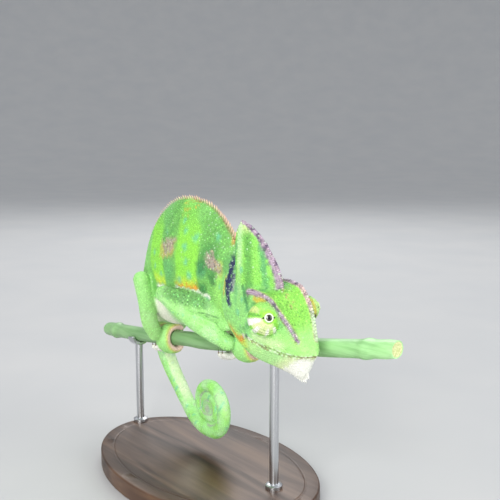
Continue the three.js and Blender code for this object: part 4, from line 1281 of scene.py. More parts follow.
# ---- scales -------------------------------------------------------------------------
class Hide:
    """The finished skin, ready to be asked for roots of scales."""

    def __init__(self, skin, colour, grain, near):
        mesh = skin.data
        mesh.calc_loop_triangles()
        count = len(mesh.loop_triangles)
        self.points = points_of(skin)
        self.normals = vertex_normals(mesh)
        self.tri = np.empty(3 * count, int)
        mesh.loop_triangles.foreach_get("vertices", self.tri)
        self.tri = self.tri.reshape(-1, 3)
        loops = np.empty(3 * count, int)
        mesh.loop_triangles.foreach_get("loops", loops)
        flat = np.empty(2 * len(mesh.loops))
        mesh.uv_layers["OFBake"].data.foreach_get("uv", flat)
        self.uv = flat.reshape(-1, 2)[loops].reshape(-1, 3, 2)
        self.colour, self.grain = colour, grain
        self.labels = list(near)
        self.label = np.argmin(np.stack(list(near.values())), axis=0)
        p = self.points[self.tri]
        self.area = np.linalg.norm(np.cross(p[:, 1] - p[:, 0], p[:, 2] - p[:, 0]), axis=1) / 2
        self.tree = BVHTree.FromPolygons(self.points.tolist(), self.tri.tolist())

    def roots(self, index, share):
        """Place, lie, colour, grain and unwrap of points given by triangle and corner shares."""
        def blend(values):
            return np.einsum("ij,ij...->i...", share, values)
        corner = self.tri[index]
        return {"at": blend(self.points[corner]), "up": unit(blend(self.normals[corner])),
                "colour": blend(self.colour[corner]), "grain": blend(self.grain[corner]),
                "uv": blend(self.uv[index])}

    def nearest(self, points):
        found = [self.tree.find_nearest(p) for p in points]
        index = np.array([hit[2] for hit in found])
        at = np.array([hit[0] for hit in found])
        p0, p1, p2 = (self.points[self.tri[index, k]] for k in range(3))
        e1, e2, off = p1 - p0, p2 - p0, at - p0
        d11, d12, d22 = (e1 * e1).sum(1), (e1 * e2).sum(1), (e2 * e2).sum(1)
        f1, f2 = (off * e1).sum(1), (off * e2).sum(1)
        area = np.maximum(d11 * d22 - d12 * d12, 1e-12)
        v, w = (d22 * f1 - d12 * f2) / area, (d11 * f2 - d12 * f1) / area
        return self.roots(index, np.clip(np.stack([1 - v - w, v, w], 1), 0, 1))

    def strew(self, labels, pitch, seed, keep=None):
        """Roots spread evenly over some parts, no two nearer than pitch(points)."""
        rng = np.random.default_rng(seed)
        wanted = np.isin(self.label, [self.labels.index(k) for k in labels])[self.tri[:, 0]]
        index = np.flatnonzero(wanted)
        tries = 14                    # to the square millimetre, of which the well spaced ones stay
        count = int(self.area[index].sum() * tries)
        index = rng.choice(index, count, p=self.area[index] / self.area[index].sum())
        r1, r2 = np.sqrt(rng.random(count)), rng.random(count)
        share = np.stack([1 - r1, r1 * (1 - r2), r1 * r2], axis=1)
        points = np.einsum("ij,ijk->ik", share, self.points[self.tri[index]])
        if keep is not None:
            chosen = keep(points)
            index, share, points = index[chosen], share[chosen], points[chosen]
        gaps = pitch(points)
        tree = KDTree(len(points))
        for i, p in enumerate(points):
            tree.insert(p, i)
        tree.balance()
        free = np.ones(len(points), bool)
        taken = []
        for i in range(len(points)):
            if free[i]:
                taken.append(i)
                for _, j, _ in tree.find_range(points[i], gaps[i]):
                    free[j] = False
        taken = np.array(taken)
        roots = self.roots(index[taken], share[taken])
        roots["size"] = gaps[taken]
        return roots


def cone_form(sides, rings):
    """One scale: rings of (radius, height) up to a tip, closed below; all in units of its size."""
    points, faces = [], []
    turns = [2 * math.pi * k / sides for k in range(sides)]
    for radius, height in rings[:-1]:
        points += [(radius * math.cos(turn), radius * math.sin(turn), height) for turn in turns]
    points.append((0, 0, rings[-1][1]))
    for i in range(len(rings) - 2):
        low, high = i * sides, (i + 1) * sides
        faces += [(low + k, low + (k + 1) % sides, high + (k + 1) % sides, high + k) for k in range(sides)]
    top = (len(rings) - 2) * sides
    faces += [(top + k, top + (k + 1) % sides, len(points) - 1) for k in range(sides)]
    faces.append(tuple(reversed(range(sides))))
    return np.array(points), faces


GRANULE = cone_form(6, [(0.60, -0.25), (0.52, 0.10), (0, 0.24)])
TUBERCLE = cone_form(8, [(0.60, -0.30), (0.56, 0.16), (0.34, 0.44), (0, 0.56)])
SPINE = cone_form(8, [(0.38, -0.40), (0.33, 0.35), (0.20, 0.90), (0, 1.45)])
SKIN_GAP_PAINTED_SHADE = 0.86                     # painted shade: the skin in the gaps between the scales is painted darker than they are
SCALE_UNWRAP = 0.0015                 # half the breadth of one scale's own patch of the unwrap


def cover(name, form, roots, finish, height=1.0, lie=None, tint=None, seed=1):
    """One mesh of many like scales: each is the form, sized and stood on its root."""
    rng = np.random.default_rng(seed)
    form_points, form_faces = form
    n, m = len(roots["at"]), len(form_points)
    up = roots["up"]
    spin = unit(rng.normal(size=(n, 3)))
    x_axis = unit(np.cross(up, spin) if lie is None else lie - up * np.sum(lie * up, 1, keepdims=True))
    y_axis = np.cross(up, x_axis)
    size = roots["size"] * rng.uniform(0.94, 1.06, n)
    tall = size * height * rng.uniform(0.85, 1.15, n)
    lean = roots.get("lean", np.zeros((n, 3)))
    fx, fy, fz = form_points.T
    points = (roots["at"][:, None] + x_axis[:, None] * (size[:, None] * fx)[..., None]
              + y_axis[:, None] * (size[:, None] * fy)[..., None]
              + up[:, None] * (tall[:, None] * fz)[..., None]
              + lean[:, None] * (tall[:, None] * np.maximum(fz, 0) ** 1.5)[..., None])
    faces = [tuple(v + i * m for v in face) for i in range(n) for face in form_faces]
    piece = add_mesh(name, points.reshape(-1, 3), faces)
    fleck, frost = roots["grain"].T
    light = np.exp(rng.normal(size=n) * fleck - fleck ** 2)
    cool = rng.normal(size=n) * fleck * 0.15
    colour = roots["colour"] * light[:, None] * np.exp(np.stack([-cool, 0 * cool, cool], 1))
    pale = (rng.random(n) < frost)[:, None] * rng.uniform(0.15, 0.55, n)[:, None]
    colour += (FROST - colour) * pale
    # Painted shade and highlight: each scale is painted darker towards its root, in the crevices between the
    # scales, and a little lighter at its tip.
    edge = np.clip(0.62 + 0.5 * fz / fz.max(), 0.62, 1.06)
    colour = colour[:, None] * edge[None, :, None]
    if tint is not None:
        colour = tint(colour, np.clip(fz / fz.max(), 0, 1)[None, :, None])
    keep_colour(piece, "Paint", np.clip(colour.reshape(-1, 3), 0, 1))
    angle = 2 * math.pi * np.arange(m) / 6
    spread = SCALE_UNWRAP * np.stack([np.cos(angle), np.sin(angle)], 1)
    corner = np.concatenate([np.array(face) for face in form_faces])
    layer = piece.data.uv_layers.new(name="OFBake")
    layer.data.foreach_set("uv", np.clip(roots["uv"][:, None] + spread[corner][None], 0.0, 1.0).ravel())
    piece.data.polygons.foreach_set("use_smooth", np.ones(len(piece.data.polygons), bool))
    to_model(piece)
    wear(piece, finish)
    return piece


def turret_roots(hide, side):
    """Scales in rings round the eye opening."""
    at, aim, across, top = turret_axes(side)
    places, sizes = [], []
    polar = EYE_EDGE + 0.15
    ring = 0
    while polar < 1.30:
        r = float(turret_radius(np.array([polar]), np.array([1.0]))[0])
        pitch = 0.42 + 0.16 * min(1, (polar - 0.3) / 0.5)
        count = max(8, int(2 * math.pi * r * math.sin(polar) / pitch))
        azimuth = 2 * math.pi * (np.arange(count) + 0.5 * (ring % 2)) / count
        direction = (aim * math.cos(polar) + across * (math.sin(polar) * np.cos(azimuth))[:, None]
                     + top * (math.sin(polar) * np.sin(azimuth))[:, None])
        places.append(at + direction * turret_radius(np.full(count, polar), azimuth)[:, None])
        sizes.append(np.full(count, pitch))
        polar += pitch * 0.94 / r
        ring += 1
    roots = hide.nearest(np.vstack(places))
    roots["size"] = np.concatenate(sizes)
    return roots


def row_roots(hide, places, size, up=None, lean=None):
    """Roots along a drawn line of places; up and lean turn the scales off the skin's own upright."""
    roots = hide.nearest(places)
    roots["size"] = np.broadcast_to(size, (len(places),)).astype(float)
    if up is not None:
        roots["up"] = unit(np.broadcast_to(up, (len(places), 3)))
    if lean is not None:
        roots["lean"] = np.broadcast_to(lean, (len(places), 3))
    return roots


def join_roots(*several):
    return {key: np.concatenate([roots[key] for roots in several]) for key in several[0]}


def body_pitch(points):
    return 0.62 + 0.07 * wobble(points, 4, 61) + 0.05 * wobble(points, 1.5, 62)


def make_coat(hide, finish):
    """The fine scales of flanks, legs, turrets, head and tail, a piece each."""
    pieces = []
    for side, sign in SIDE.items():
        flank = hide.strew(["trunk"], body_pitch, 70 + sign,
                           lambda p, sign=sign: trunk_coordinates(p)[1] * sign > 0)
        pieces.append(cover("trunk_scales_" + side, GRANULE, flank, finish, seed=80 + sign))
        limbs = hide.strew(LIMB_LABELS[side], lambda p: 0.54 + 0.05 * wobble(p, 3, 63), 90 + sign,
                           lambda p: limb_bare(p) < 0.5)
        pieces.append(cover("limb_scales_" + side, GRANULE, limbs, finish, seed=100 + sign))
        pieces.append(cover("turret_scales_" + side, GRANULE, turret_roots(hide, side), finish, 0.6,
                            seed=110 + sign))
    head = hide.strew(["head", "casque", "neck"], head_pitch, 120, lambda p: face_bare(p) < 0.5)
    pieces.append(cover("head_scales", GRANULE, head, finish, seed=121))
    tail = hide.strew(["tail"], lambda p: 0.55 + 0.04 * wobble(p, 3, 64), 130)
    pieces.append(cover("tail_scales", GRANULE, tail, finish, seed=131))
    return pieces


def head_pitch(points):
    a, _, c = head_coordinates(points)
    return 0.56 + 0.14 * smooth(20, 26, c) + 0.05 * wobble(points, 3, 65) - 0.10 * smooth(36, 44, a)


def face_bare(points):
    """1 on the mouth line and in the nostrils, where no scale stands."""
    a, _, c = head_coordinates(points)
    line = hump(c - mouth_line(a), 0, 0.25) * (a > 25)
    return np.maximum(line, hump(np.hypot(a - NOSTRIL[0], c - NOSTRIL[1]), 0, 0.5))


def limb_bare(points):
    """1 on the soles."""
    result = np.zeros(len(points))
    for grip in GRIPS.values():
        away = points - grip.at
        r = np.hypot(away @ grip.out, away @ grip.up)
        result = np.maximum(result, (r < GRIP_R - 0.5) * (np.abs(away @ grip.along) < 5))
    return result


# ---- crests, spines and claws -------------------------------------------------------
def along(points, gap):
    """Even steps of about gap along a line of close points."""
    step = np.linalg.norm(np.diff(points, axis=0), axis=1)
    run = np.concatenate([[0], np.cumsum(step)])
    at = np.linspace(0, run[-1], int(run[-1] / gap) + 1)
    return np.stack([np.interp(at, run, points[:, k]) for k in range(3)], axis=1)


def head_crest_roots(hide):
    """Coarse scales along both crests over the eyes and down the front edge of the casque."""
    rows = []
    for side, line in CREST_LINES.items():
        a, b, c = line.T
        tall = 0.56 if side == "right" else 0.95
        for drop, push, size in ((0.1, 0.0, tall), (-0.42, 0.1, 0.5), (0.45, -0.35, 0.46)):
            places = along(head_at(a, b + SIDE[side] * push, c + drop), size)
            rows.append(row_roots(hide, places, size))
    c = np.linspace(20.5, 39, 80)
    for shift in (-0.55, 0.0, 0.55):
        places = along(head_at(casque_front(c) + 0.1, shift, c), 0.56)
        rows.append(row_roots(hide, places, 0.55))
    return join_roots(*rows)


def spine_roots(hide):
    """Spines along the back, smaller towards the tail, where they lean."""
    s = np.linspace(0.10, 0.93, 300)
    places = along(trunk_point(s, np.zeros(300)), 1.3)
    heading = unit(np.gradient(places, axis=0))
    up = unit(np.cross(heading, LEAN_SIDE))
    if np.mean(up @ LEAN_UP) < 0:
        up = -up
    return row_roots(hide, places, 1.45 - 0.95 * np.linspace(0, 1, len(places)), up, heading * 0.5)


def gular_roots(hide):
    """Spines under the chin and throat, in three rows, and a low row along the belly."""
    a = np.linspace(27, 41.6, 60)
    places = along(head_at(a, 0 * a, throat(a) + 0.2), 0.98)
    share = np.linspace(0, 1, len(places))
    chin = row_roots(hide, places, 0.85 + 0.35 * share, up=-ROLL_UP, lean=vec(0.25, 0, 0))
    for sign in (-1, 1):
        side_row = along(head_at(a, sign * (0.75 + 0.02 * (a - 27)), throat(a) + 0.3), 0.8)
        chin = join_roots(chin, row_roots(hide, side_row, 0.42, up=-ROLL_UP + sign * 0.4 * ROLL_SIDE,
                                          lean=vec(0.2, 0, 0)))
    s = np.linspace(0.1, 0.92, 300)
    line = along(trunk_point(s, np.full(300, math.pi)), 1.3)
    belly_row = row_roots(hide, line, 0.55, up=-LEAN_UP, lean=vec(-0.3, 0, 0))
    return join_roots(chin, belly_row)


def rosy(colour, rise):
    """Pinker towards the tip, as rise goes to 1."""
    return colour * (1 - rise) + srgb(240, 188, 176) * rise


def creamy(colour, rise):
    """Whiter towards the tip."""
    return colour * (1 - 0.9 * rise) + WHITE * 0.9 * rise


def make_claws(finish):
    """One curved claw drawn out of a disc, then copied to the tip of each toe."""
    claw = basic(bpy.ops.mesh.primitive_circle_add, "claw", vertices=10, radius=0.42, fill_type="NGON",
                 location=(0, 0, 0))
    edit_all(claw)
    bend = 0.0
    at = vec(0, 0, 0)
    for shrink in (0.82, 0.82, 0.82, 0.82, 0.82, 0.3):
        bend += 0.24
        move = vec(-math.sin(bend), 0, math.cos(bend)) * 0.36
        at += move
        bpy.ops.mesh.extrude_region_move(TRANSFORM_OT_translate={"value": move})
        bpy.ops.transform.resize(value=(shrink, shrink, 1), center_override=at)
    end_edit()
    form = points_of(claw)
    faces = [tuple(p.vertices) for p in claw.data.polygons]
    bpy.data.objects.remove(claw)
    all_points, all_faces = [], []
    for grip in GRIPS.values():
        for end, shift in toes():
            deg = (REACH - 5) * end
            at = grip.ring([deg], [GRIP_R - 0.05])[0] + grip.along * shift
            ahead = unit(grip.ring([deg + end], [GRIP_R])[0] - grip.ring([deg], [GRIP_R])[0])
            outward = unit(grip.ring([deg], [GRIP_R])[0] - grip.at)
            aside = np.cross(ahead, outward)
            base = len(all_points) * len(form)
            all_points.append(at + form[:, :1] * outward + form[:, 1:2] * aside + form[:, 2:] * ahead)
            flip = np.linalg.det(np.stack([outward, aside, ahead])) < 0
            all_faces += [tuple(v + base for v in (reversed(f) if flip else f)) for f in faces]
    piece = add_mesh("claws", np.vstack(all_points), all_faces)
    keep_value(piece, "Rise", np.tile(form[:, 2] / form[:, 2].max(), len(all_points)))
    smooth_by_angle(piece, 50)
    wear(piece, finish)
    return to_model(piece)


# ---- eyes ---------------------------------------------------------------------------
def make_eye(side, finish):
    """An eyeball with a slightly flattened, bulging front in the opening of the lids."""
    at, aim, _, _ = turret_axes(side)
    centre = at + aim * (TURRET_R + 1.05 - EYE_R)
    eye = basic(bpy.ops.mesh.primitive_uv_sphere_add, "eyeball_dark_" + side, segments=40, ring_count=28,
                radius=EYE_R, location=centre, rotation=Vector(aim).to_track_quat("Z", "Y").to_euler())
    select_faces(eye, lambda middle, normal: unit(np.array(middle) - centre) @ aim > 0.93)
    bpy.ops.transform.resize(value=(0.97, 0.97, 0.97), center_override=centre + aim * EYE_R * 0.9)
    bpy.ops.transform.translate(value=aim * 0.05)
    bpy.ops.object.mode_set(mode="OBJECT")
    away = points_of(eye) - centre
    keep_value(eye, "Rim", np.linalg.norm(np.cross(away, aim), axis=1) + 9 * (away @ aim < 0))
    smooth_all(eye)
    wear(eye, finish)
    return to_model(eye)


# ---- stem ---------------------------------------------------------------------------
def stem_radius(x):
    """The stem's radius: it swells at two leaf joints, each with a thin groove beside it."""
    joints = 0.55 * hump(x, -60, 1.6) + 0.40 * hump(x, 74, 1.8)
    return STEM_R + joints - 0.12 * hump(x, -57, 1.2) - 0.06 * hump(x, 77, 1.2)


def make_stem(finish, cut_finish):
    """The stem drawn out of a disc, with its cut ends and fine ribs."""
    xs = np.unique(np.concatenate([np.linspace(STEM_REAR, STEM_FRONT, 60), np.linspace(-64, -55, 12),
                                   np.linspace(70, 79, 12)]))
    radii = [float(stem_radius(x)) for x in xs]
    radii[0] -= 0.25
    radii[-1] -= 0.25
    stem = basic(bpy.ops.mesh.primitive_circle_add, "cut_stem", vertices=40, radius=radii[0],
                 fill_type="NGON", location=stem_at(xs[0]), rotation=(0, math.pi / 2, 0))
    edit_all(stem)
    for i in range(1, len(xs)):
        at = stem_at(xs[i])
        bpy.ops.mesh.extrude_region_move(TRANSFORM_OT_translate={"value": at - stem_at(xs[i - 1])})
        grow = radii[i] / radii[i - 1]
        bpy.ops.transform.resize(value=(1, grow, grow), center_override=at)
    end_edit()
    wear(stem, finish, cut_finish)
    for x, out in ((STEM_REAR, -1), (STEM_FRONT, 1)):
        select_faces(stem, lambda at, normal, x=x, out=out: abs(at[0] - x) < 0.05 and normal[0] * out > 0.9)
        bpy.ops.mesh.inset(thickness=0.35)
        stem.active_material_index = 1
        bpy.ops.object.material_slot_assign()
        bpy.ops.mesh.inset(thickness=0.8, depth=-0.06)
        bpy.ops.mesh.inset(thickness=0.9, depth=-0.05)
        bpy.ops.object.mode_set(mode="OBJECT")
    points = points_of(stem)
    centre = stem_at(points[:, 0])
    angle = np.arctan2(points[:, 2] - centre[:, 2], points[:, 1] - centre[:, 1])
    groove = 0.035 * np.cos(angle * 9) + 0.03 * np.sin(angle * 4 + points[:, 0] * 0.05)
    radial = (points - centre) * vec(0, 1, 1)
    length = np.linalg.norm(radial, axis=1, keepdims=True)
    set_points(stem, points + radial / np.maximum(length, 0.1) * (groove[:, None] - 0.05) * (length > 2.2))
    smooth_by_angle(stem, 40)
    return to_model(stem)


# ---- stand --------------------------------------------------------------------------
ROD_R = 1.5
ROD_AT = {"stand_rod_rear": -44, "stand_rod_front": 36}     # where each rod stands, along x
CRADLE = (2.0, 1.3)                   # half length and thickness of the trough at the top of a rod


def make_base(finish):
    """An oval base with a thin groove round its top."""
    low, high = base_low - ORIGIN, base_high - ORIGIN
    size = high - low
    base = basic(bpy.ops.mesh.primitive_cylinder_add, "oval_base", vertices=120, radius=0.5, depth=size[2],
                 location=(low + high) / 2, scale=(size[0], size[1], 1))
    select_faces(base, lambda centre, normal: normal[2] > 0.9)
    bpy.ops.mesh.inset(thickness=4.2)
    bpy.ops.mesh.inset(thickness=0.5, depth=-0.35)
    bpy.ops.mesh.inset(thickness=0.5, depth=0.35)
    bpy.ops.object.mode_set(mode="OBJECT")
    bevel(base, 1.1, 4, 60)
    smooth_by_angle(base, 35)
    wear(base, finish)
    return to_model(base)


def make_cradle(x):
    """The open trough that holds the stem at x: a short profile spun most of the way under it."""
    top, slope = stem_at(x), stem_slope(x)
    axis, aside = vec(math.cos(slope), 0, math.sin(slope)), vec(0, 1, 0)
    half, thick = CRADLE
    inner = STEM_R + 0.15
    start = 190 * RAD
    radial = aside * math.cos(start) + np.cross(axis, aside) * math.sin(start)
    cradle = basic(bpy.ops.mesh.primitive_plane_add, "cradle", size=1, location=(0, 0, 0))
    set_points(cradle, [top + axis * a + radial * r for r in (inner, inner + thick) for a in (-half, half)])
    edit_all(cradle)
    bpy.ops.mesh.spin(steps=24, angle=160 * RAD, center=top, axis=-axis, dupli=False)
    end_edit(weld=0.001)
    bevel(cradle, 0.3, 2, 50)
    return cradle


def make_rod(name, finish):
    """A rod with a flange at its foot and a cradle at its head."""
    x = ROD_AT[name]
    at_x, at_y, at_z = stem_at(x)
    head = at_z - STEM_R - 0.9
    cylinder = bpy.ops.mesh.primitive_cylinder_add
    rod = basic(cylinder, name + "_steel", vertices=36, radius=ROD_R, depth=head - BASE_TOP,
                location=(at_x, at_y, (BASE_TOP + head) / 2))
    flange = basic(cylinder, "flange", vertices=40, radius=ROD_R + 1.3, depth=1.0,
                   location=(at_x, at_y, BASE_TOP + 0.5))
    select_faces(flange, lambda centre, normal: normal[2] > 0.9)
    bpy.ops.mesh.inset(thickness=0.9)
    bpy.ops.transform.translate(value=(0, 0, 0.5))
    bpy.ops.object.mode_set(mode="OBJECT")
    pick(rod, flange, make_cradle(x))
    bpy.ops.object.join()
    smooth_by_angle(rod, 35)
    wear(rod, finish)
    return to_model(rod)


# ---- finishes -----------------------------------------------------------------------
def new_finish(name, roughness, **sockets):
    finish = bpy.data.materials.new(name)
    finish.use_nodes = True
    shader = finish.node_tree.nodes["Principled BSDF"]
    shader.inputs["Roughness"].default_value = roughness
    for socket, value in sockets.items():
        shader.inputs[socket.replace("_", " ")].default_value = value
    return finish


def node(finish, kind, **settings):
    made = finish.node_tree.nodes.new("ShaderNode" + kind)
    for key, value in settings.items():
        if key in made.inputs:
            made.inputs[key].default_value = value
        else:
            setattr(made, key, value)
    return made


def link(finish, output, socket):
    finish.node_tree.links.new(output, socket)


def feed(finish, name, output):
    """Lets an output set one of the shader's values."""
    link(finish, output, finish.node_tree.nodes["Principled BSDF"].inputs[name])


def place_node(finish, stretch=(1, 1, 1)):
    mapping = node(finish, "Mapping", Scale=stretch)
    link(finish, node(finish, "TexCoord").outputs["Object"], mapping.inputs["Vector"])
    return mapping.outputs["Vector"]


def grain_of(finish, scale, stretch=(1, 1, 1), kind="Noise", **settings):
    """A pattern through the object, about as many swells to the metre as scale says."""
    made = node(finish, "Tex" + kind, Scale=scale, **settings)
    link(finish, place_node(finish, stretch), made.inputs["Vector"])
    return made.outputs["Distance" if kind == "Voronoi" else "Fac"]


def stored(finish, name, output="Fac"):
    """A value kept at each point of the mesh."""
    return node(finish, "Attribute", attribute_name=name).outputs[output]


def ramp(finish, factor, stops):
    """A colour for each value of factor; a stop's colour may be one number for a grey."""
    made = node(finish, "ValToRGB")
    bar = made.color_ramp
    while len(bar.elements) < len(stops):
        bar.elements.new(0.5)
    for element, (at, colour) in zip(bar.elements, stops):
        element.position = at
        element.color = (*(np.zeros(3) + colour), 1)
    link(finish, factor, made.inputs["Fac"])
    return made.outputs["Color"]


def multiply(finish, first, second):
    made = node(finish, "Mix", data_type="RGBA", blend_type="MULTIPLY", Factor=1.0)
    first_colour, second_colour, result = made.inputs[6], made.inputs[7], made.outputs[2]
    link(finish, first, first_colour)
    link(finish, second, second_colour)
    return result


def bump(finish, height, distance):
    made = node(finish, "Bump", Strength=1.0, Distance=distance)
    link(finish, height, made.inputs["Height"])
    feed(finish, "Normal", made.outputs["Normal"])


def hide_finish(name, grain, roughness, depth):
    """Painted reptile skin: its own colour at each point, mottled and finely pebbled."""
    finish = new_finish(name, roughness)
    mottle = grain_of(finish, grain * 0.5, Detail=3)
    shade = ramp(finish, mottle, [(0.3, (0.80, 0.84, 0.78)), (0.7, 1.0)])
    feed(finish, "Base Color", multiply(finish, stored(finish, "Paint", "Color"), shade))
    feed(finish, "Roughness", ramp(finish, mottle, [(0.2, roughness + 0.1), (0.8, roughness - 0.08)]))
    bump(finish, grain_of(finish, grain, kind="Voronoi", feature="SMOOTH_F1"), -depth)
    return finish


def horn_finish():
    finish = new_finish("claw_horn", 0.3)
    feed(finish, "Base Color", ramp(finish, stored(finish, "Rise"), [
        (0.0, srgb(226, 214, 178)), (0.45, srgb(150, 122, 84)), (1.0, srgb(66, 46, 34))]))
    bump(finish, grain_of(finish, 2600), 0.00004)
    return finish


def eye_finish():
    """Black pupil, thin brown iris and dark white, by the distance from the line of sight."""
    finish = new_finish("wet_eye", 0.08, Coat_Weight=1.0, Coat_Roughness=0.03)
    scaled = node(finish, "Math", operation="MULTIPLY")
    scaled.inputs[1].default_value = 0.4
    link(finish, stored(finish, "Rim"), scaled.inputs[0])
    pupil, iris, dark = srgb(8, 7, 9), srgb(64, 44, 22), srgb(24, 18, 14)
    feed(finish, "Base Color", ramp(finish, scaled.outputs[0], [
        (0.0, pupil), (0.27, pupil), (0.30, iris), (0.36, iris), (0.44, dark)]))
    return finish


def stem_finish():
    """Green rind, blotched and fibrous, with painted light: darker towards its rear end and lighter towards
    its front end.
    """
    finish = new_finish("green_stem", 0.42)
    fibres = grain_of(finish, 900, (0.06, 1, 1), Detail=4)
    blotches = ramp(finish, grain_of(finish, 60, (0.5, 1, 1), Detail=3), [
        (0.3, srgb(146, 196, 136)), (0.5, srgb(166, 218, 150)), (0.7, srgb(190, 238, 172))])
    # Painted light: the rind is painted lighter towards its front end and darker towards its rear end.
    place = node(finish, "SeparateXYZ")
    link(finish, place_node(finish, (6, 6, 6)), place.inputs[0])
    front_painted_light = ramp(finish, place.outputs["X"], [(0.0, 0.62), (0.45, 1.0)])
    lines = ramp(finish, fibres, [(0.35, (0.72, 0.78, 0.70)), (0.6, 1.0)])
    feed(finish, "Base Color", multiply(finish, multiply(finish, blotches, front_painted_light), lines))
    bump(finish, fibres, 0.00012)
    return finish


def grained_finish(name, roughness, grain, colours, gloss=(), depth=0.0, **sockets):
    """A finish whose colour follows one grain, and its gloss and relief too where they are given."""
    finish = new_finish(name, roughness, **sockets)
    factor = grain_of(finish, **grain)
    feed(finish, "Base Color", ramp(finish, factor, colours))
    if gloss:
        feed(finish, "Roughness", ramp(finish, factor, gloss))
    if depth:
        bump(finish, factor, depth)
    return finish


def pith_finish():
    return grained_finish("cut_pith", 0.7, {"scale": 1800, "kind": "Voronoi"},
                          [(0.0, srgb(226, 226, 176)), (0.7, srgb(188, 196, 132))], depth=0.00012)


def wood_finish():
    grain = {"scale": 220, "stretch": (0.08, 1, 1), "Detail": 6, "Distortion": 0.4}
    return grained_finish("dark_oiled_wood", 0.4, grain,
                          [(0.3, srgb(46, 32, 24)), (0.5, srgb(74, 52, 38)), (0.68, srgb(96, 70, 50))],
                          [(0.3, 0.5), (0.7, 0.34)], 0.00008)


def steel_finish():
    return grained_finish("brushed_steel", 0.28, {"scale": 3000, "stretch": (1, 1, 0.03), "Detail": 3},
                          [(0.3, (0.50, 0.51, 0.53)), (0.7, (0.66, 0.67, 0.69))],
                          [(0.3, 0.36), (0.7, 0.24)], 0.00002, Metallic=1.0)


def floor_finish():
    return grained_finish("pale_floor", 0.75, {"scale": 14},
                          [(0.3, (0.46, 0.465, 0.47)), (0.7, (0.49, 0.49, 0.488))])


# ---- putting it together ------------------------------------------------------------
def settle(piece, slot, *nodes):
    """Rests a piece on the one body, in place of the solids it stands for; slot is not used."""
    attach(piece, "root")
    if nodes:
        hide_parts(*nodes)


def unwrap(skin):
    skin.data.uv_layers.new(name="OFBake")
    edit_all(skin)
    bpy.ops.uv.smart_project(angle_limit=66 * RAD, island_margin=0.003)
    bpy.ops.object.mode_set(mode="OBJECT")


FLESH = (["head", "lower_jaw", "casque", "neck", "trunk", "eye_turret_right", "eye_turret_left", "tail_base",
          "tail_middle", "tail_coil_outer", "tail_coil_inner"]
         + LIMB_LABELS["right"] + LIMB_LABELS["left"])


def make_animal():
    skin, near = make_skin()
    colour, grain = paint_skin(points_of(skin), near)
    unwrap(skin)
    hide = Hide(skin, colour, grain, near)
    # Painted shade: the skin is painted darker than its scales, for the gaps between them.
    keep_colour(skin, "Paint", colour * SKIN_GAP_PAINTED_SHADE)
    smooth_all(skin)
    wear(skin, hide_finish("soft_skin", 1700, 0.52, 0.00010))
    to_model(skin)
    settle(skin, "skin", *FLESH)
    scale_finish = hide_finish("pebbled_scales", 2600, 0.44, 0.00004)
    for piece in make_coat(hide, scale_finish):
        settle(piece, "skin")
    crest = cover("head_crest_scales", TUBERCLE, head_crest_roots(hide), scale_finish, seed=140)
    back = cover("dorsal_crest", SPINE, spine_roots(hide), scale_finish, tint=rosy, seed=141)
    chin = cover("throat_and_belly_crest", SPINE, gular_roots(hide), scale_finish, tint=creamy, seed=142)
    for piece in (crest, back, chin):
        settle(piece, "spines")
    settle(make_claws(horn_finish()), "claws")
    eye = eye_finish()
    for side in SIDE:
        settle(make_eye(side, eye), "eye", "eyeball_" + side)


def make_stand():
    settle(make_stem(stem_finish(), pith_finish()), "stem", "perch_stem")
    settle(make_base(wood_finish()), "stand_base", "stand_base")
    steel = steel_finish()
    for name in ROD_AT:
        settle(make_rod(name, steel), "stand_rods", name)


def spun_floor(outline):
    """The floor, spun from half its outline."""
    mesh = bpy.data.meshes.new("floor")
    mesh.from_pydata([(x, 0, z) for x, z in outline], [(k, k + 1) for k in range(len(outline) - 1)], [])
    floor = bpy.data.objects.new("floor", mesh)
    bpy.context.collection.objects.link(floor)
    edit_all(floor)
    bpy.ops.mesh.spin(steps=96, angle=2 * math.pi, center=(0, 0, 0), axis=(0, 0, 1))
    end_edit(weld=0.0001, inside=True)
    smooth_all(floor)
    return floor


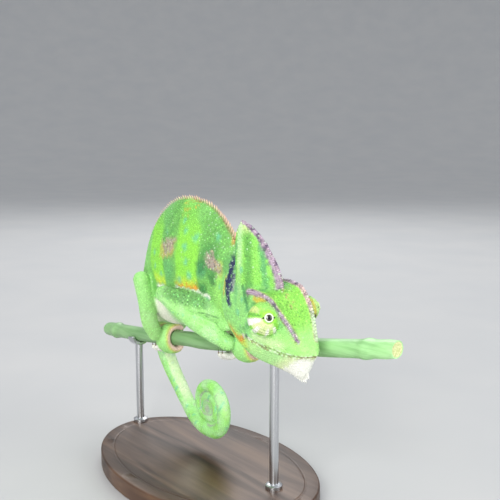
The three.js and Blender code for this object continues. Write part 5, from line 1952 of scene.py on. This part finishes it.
def make_studio():
    """A pale floor that sweeps up all round, and soft lamps."""
    flat, sweep = 1.8, 2.2
    tilts = [k * 9 * RAD for k in range(11)]
    floor = spun_floor([(0, 0)] + [(flat + sweep * math.sin(tilt), sweep * (1 - math.cos(tilt)))
                                   for tilt in tilts])
    wear(floor, floor_finish())
    middle = vec(0.0, 0.0, 0.06)
    for name, place, width, power, colour in (
            ("key", (0.52, -0.80, 0.55), 0.5, 10.0, (1.0, 0.985, 0.95)),
            ("low", (0.62, -0.75, 0.10), 0.35, 3.2, (1.0, 0.99, 0.96)),
            ("fill", (0.85, 0.35, 0.35), 0.7, 4.2, (0.95, 0.98, 1.0)),
            ("rim", (-0.6, 0.5, 0.7), 0.5, 4.0, (1.0, 1.0, 1.0))):
        lamp = bpy.data.lights.new(name, "AREA")
        lamp.size, lamp.energy, lamp.color = width, power, colour
        holder = bpy.data.objects.new(name, lamp)
        holder.location = place
        holder.rotation_euler = Vector(vec(*place) - middle).to_track_quat("Z", "Y").to_euler()
        bpy.context.collection.objects.link(holder)
    world = bpy.data.worlds.new("studio")
    world.use_nodes = True
    sky = world.node_tree.nodes["Background"].inputs
    sky["Color"].default_value = (0.92, 0.95, 1.0, 1)
    sky["Strength"].default_value = 0.8
    bpy.context.scene.world = world
    bpy.context.scene.view_settings.view_transform = "Standard"


def make_camera():
    """A camera to the animal's right and front, a little above it."""
    lens = bpy.data.cameras.new("view")
    lens.lens, lens.sensor_width, lens.clip_start = 54.72, 36, 0.01
    camera = bpy.data.objects.new("view", lens)
    azimuth, elevation = -40 * RAD, 8 * RAD
    level = vec(math.cos(azimuth), math.sin(azimuth), 0)
    back = level * math.cos(elevation) + vec(0, 0, math.sin(elevation))
    right = vec(-math.sin(azimuth), math.cos(azimuth), 0)
    up = np.cross(back, right)
    turn = Matrix((right, up, back)).transposed()
    place = (vec(210.83, -156.11, 69.68) + ORIGIN) * MM
    camera.matrix_world = Matrix.Translation(Vector(place)) @ turn.to_4x4()
    bpy.context.collection.objects.link(camera)
    bpy.context.scene.camera = camera


make_camera()
make_animal()
make_stand()
make_studio()
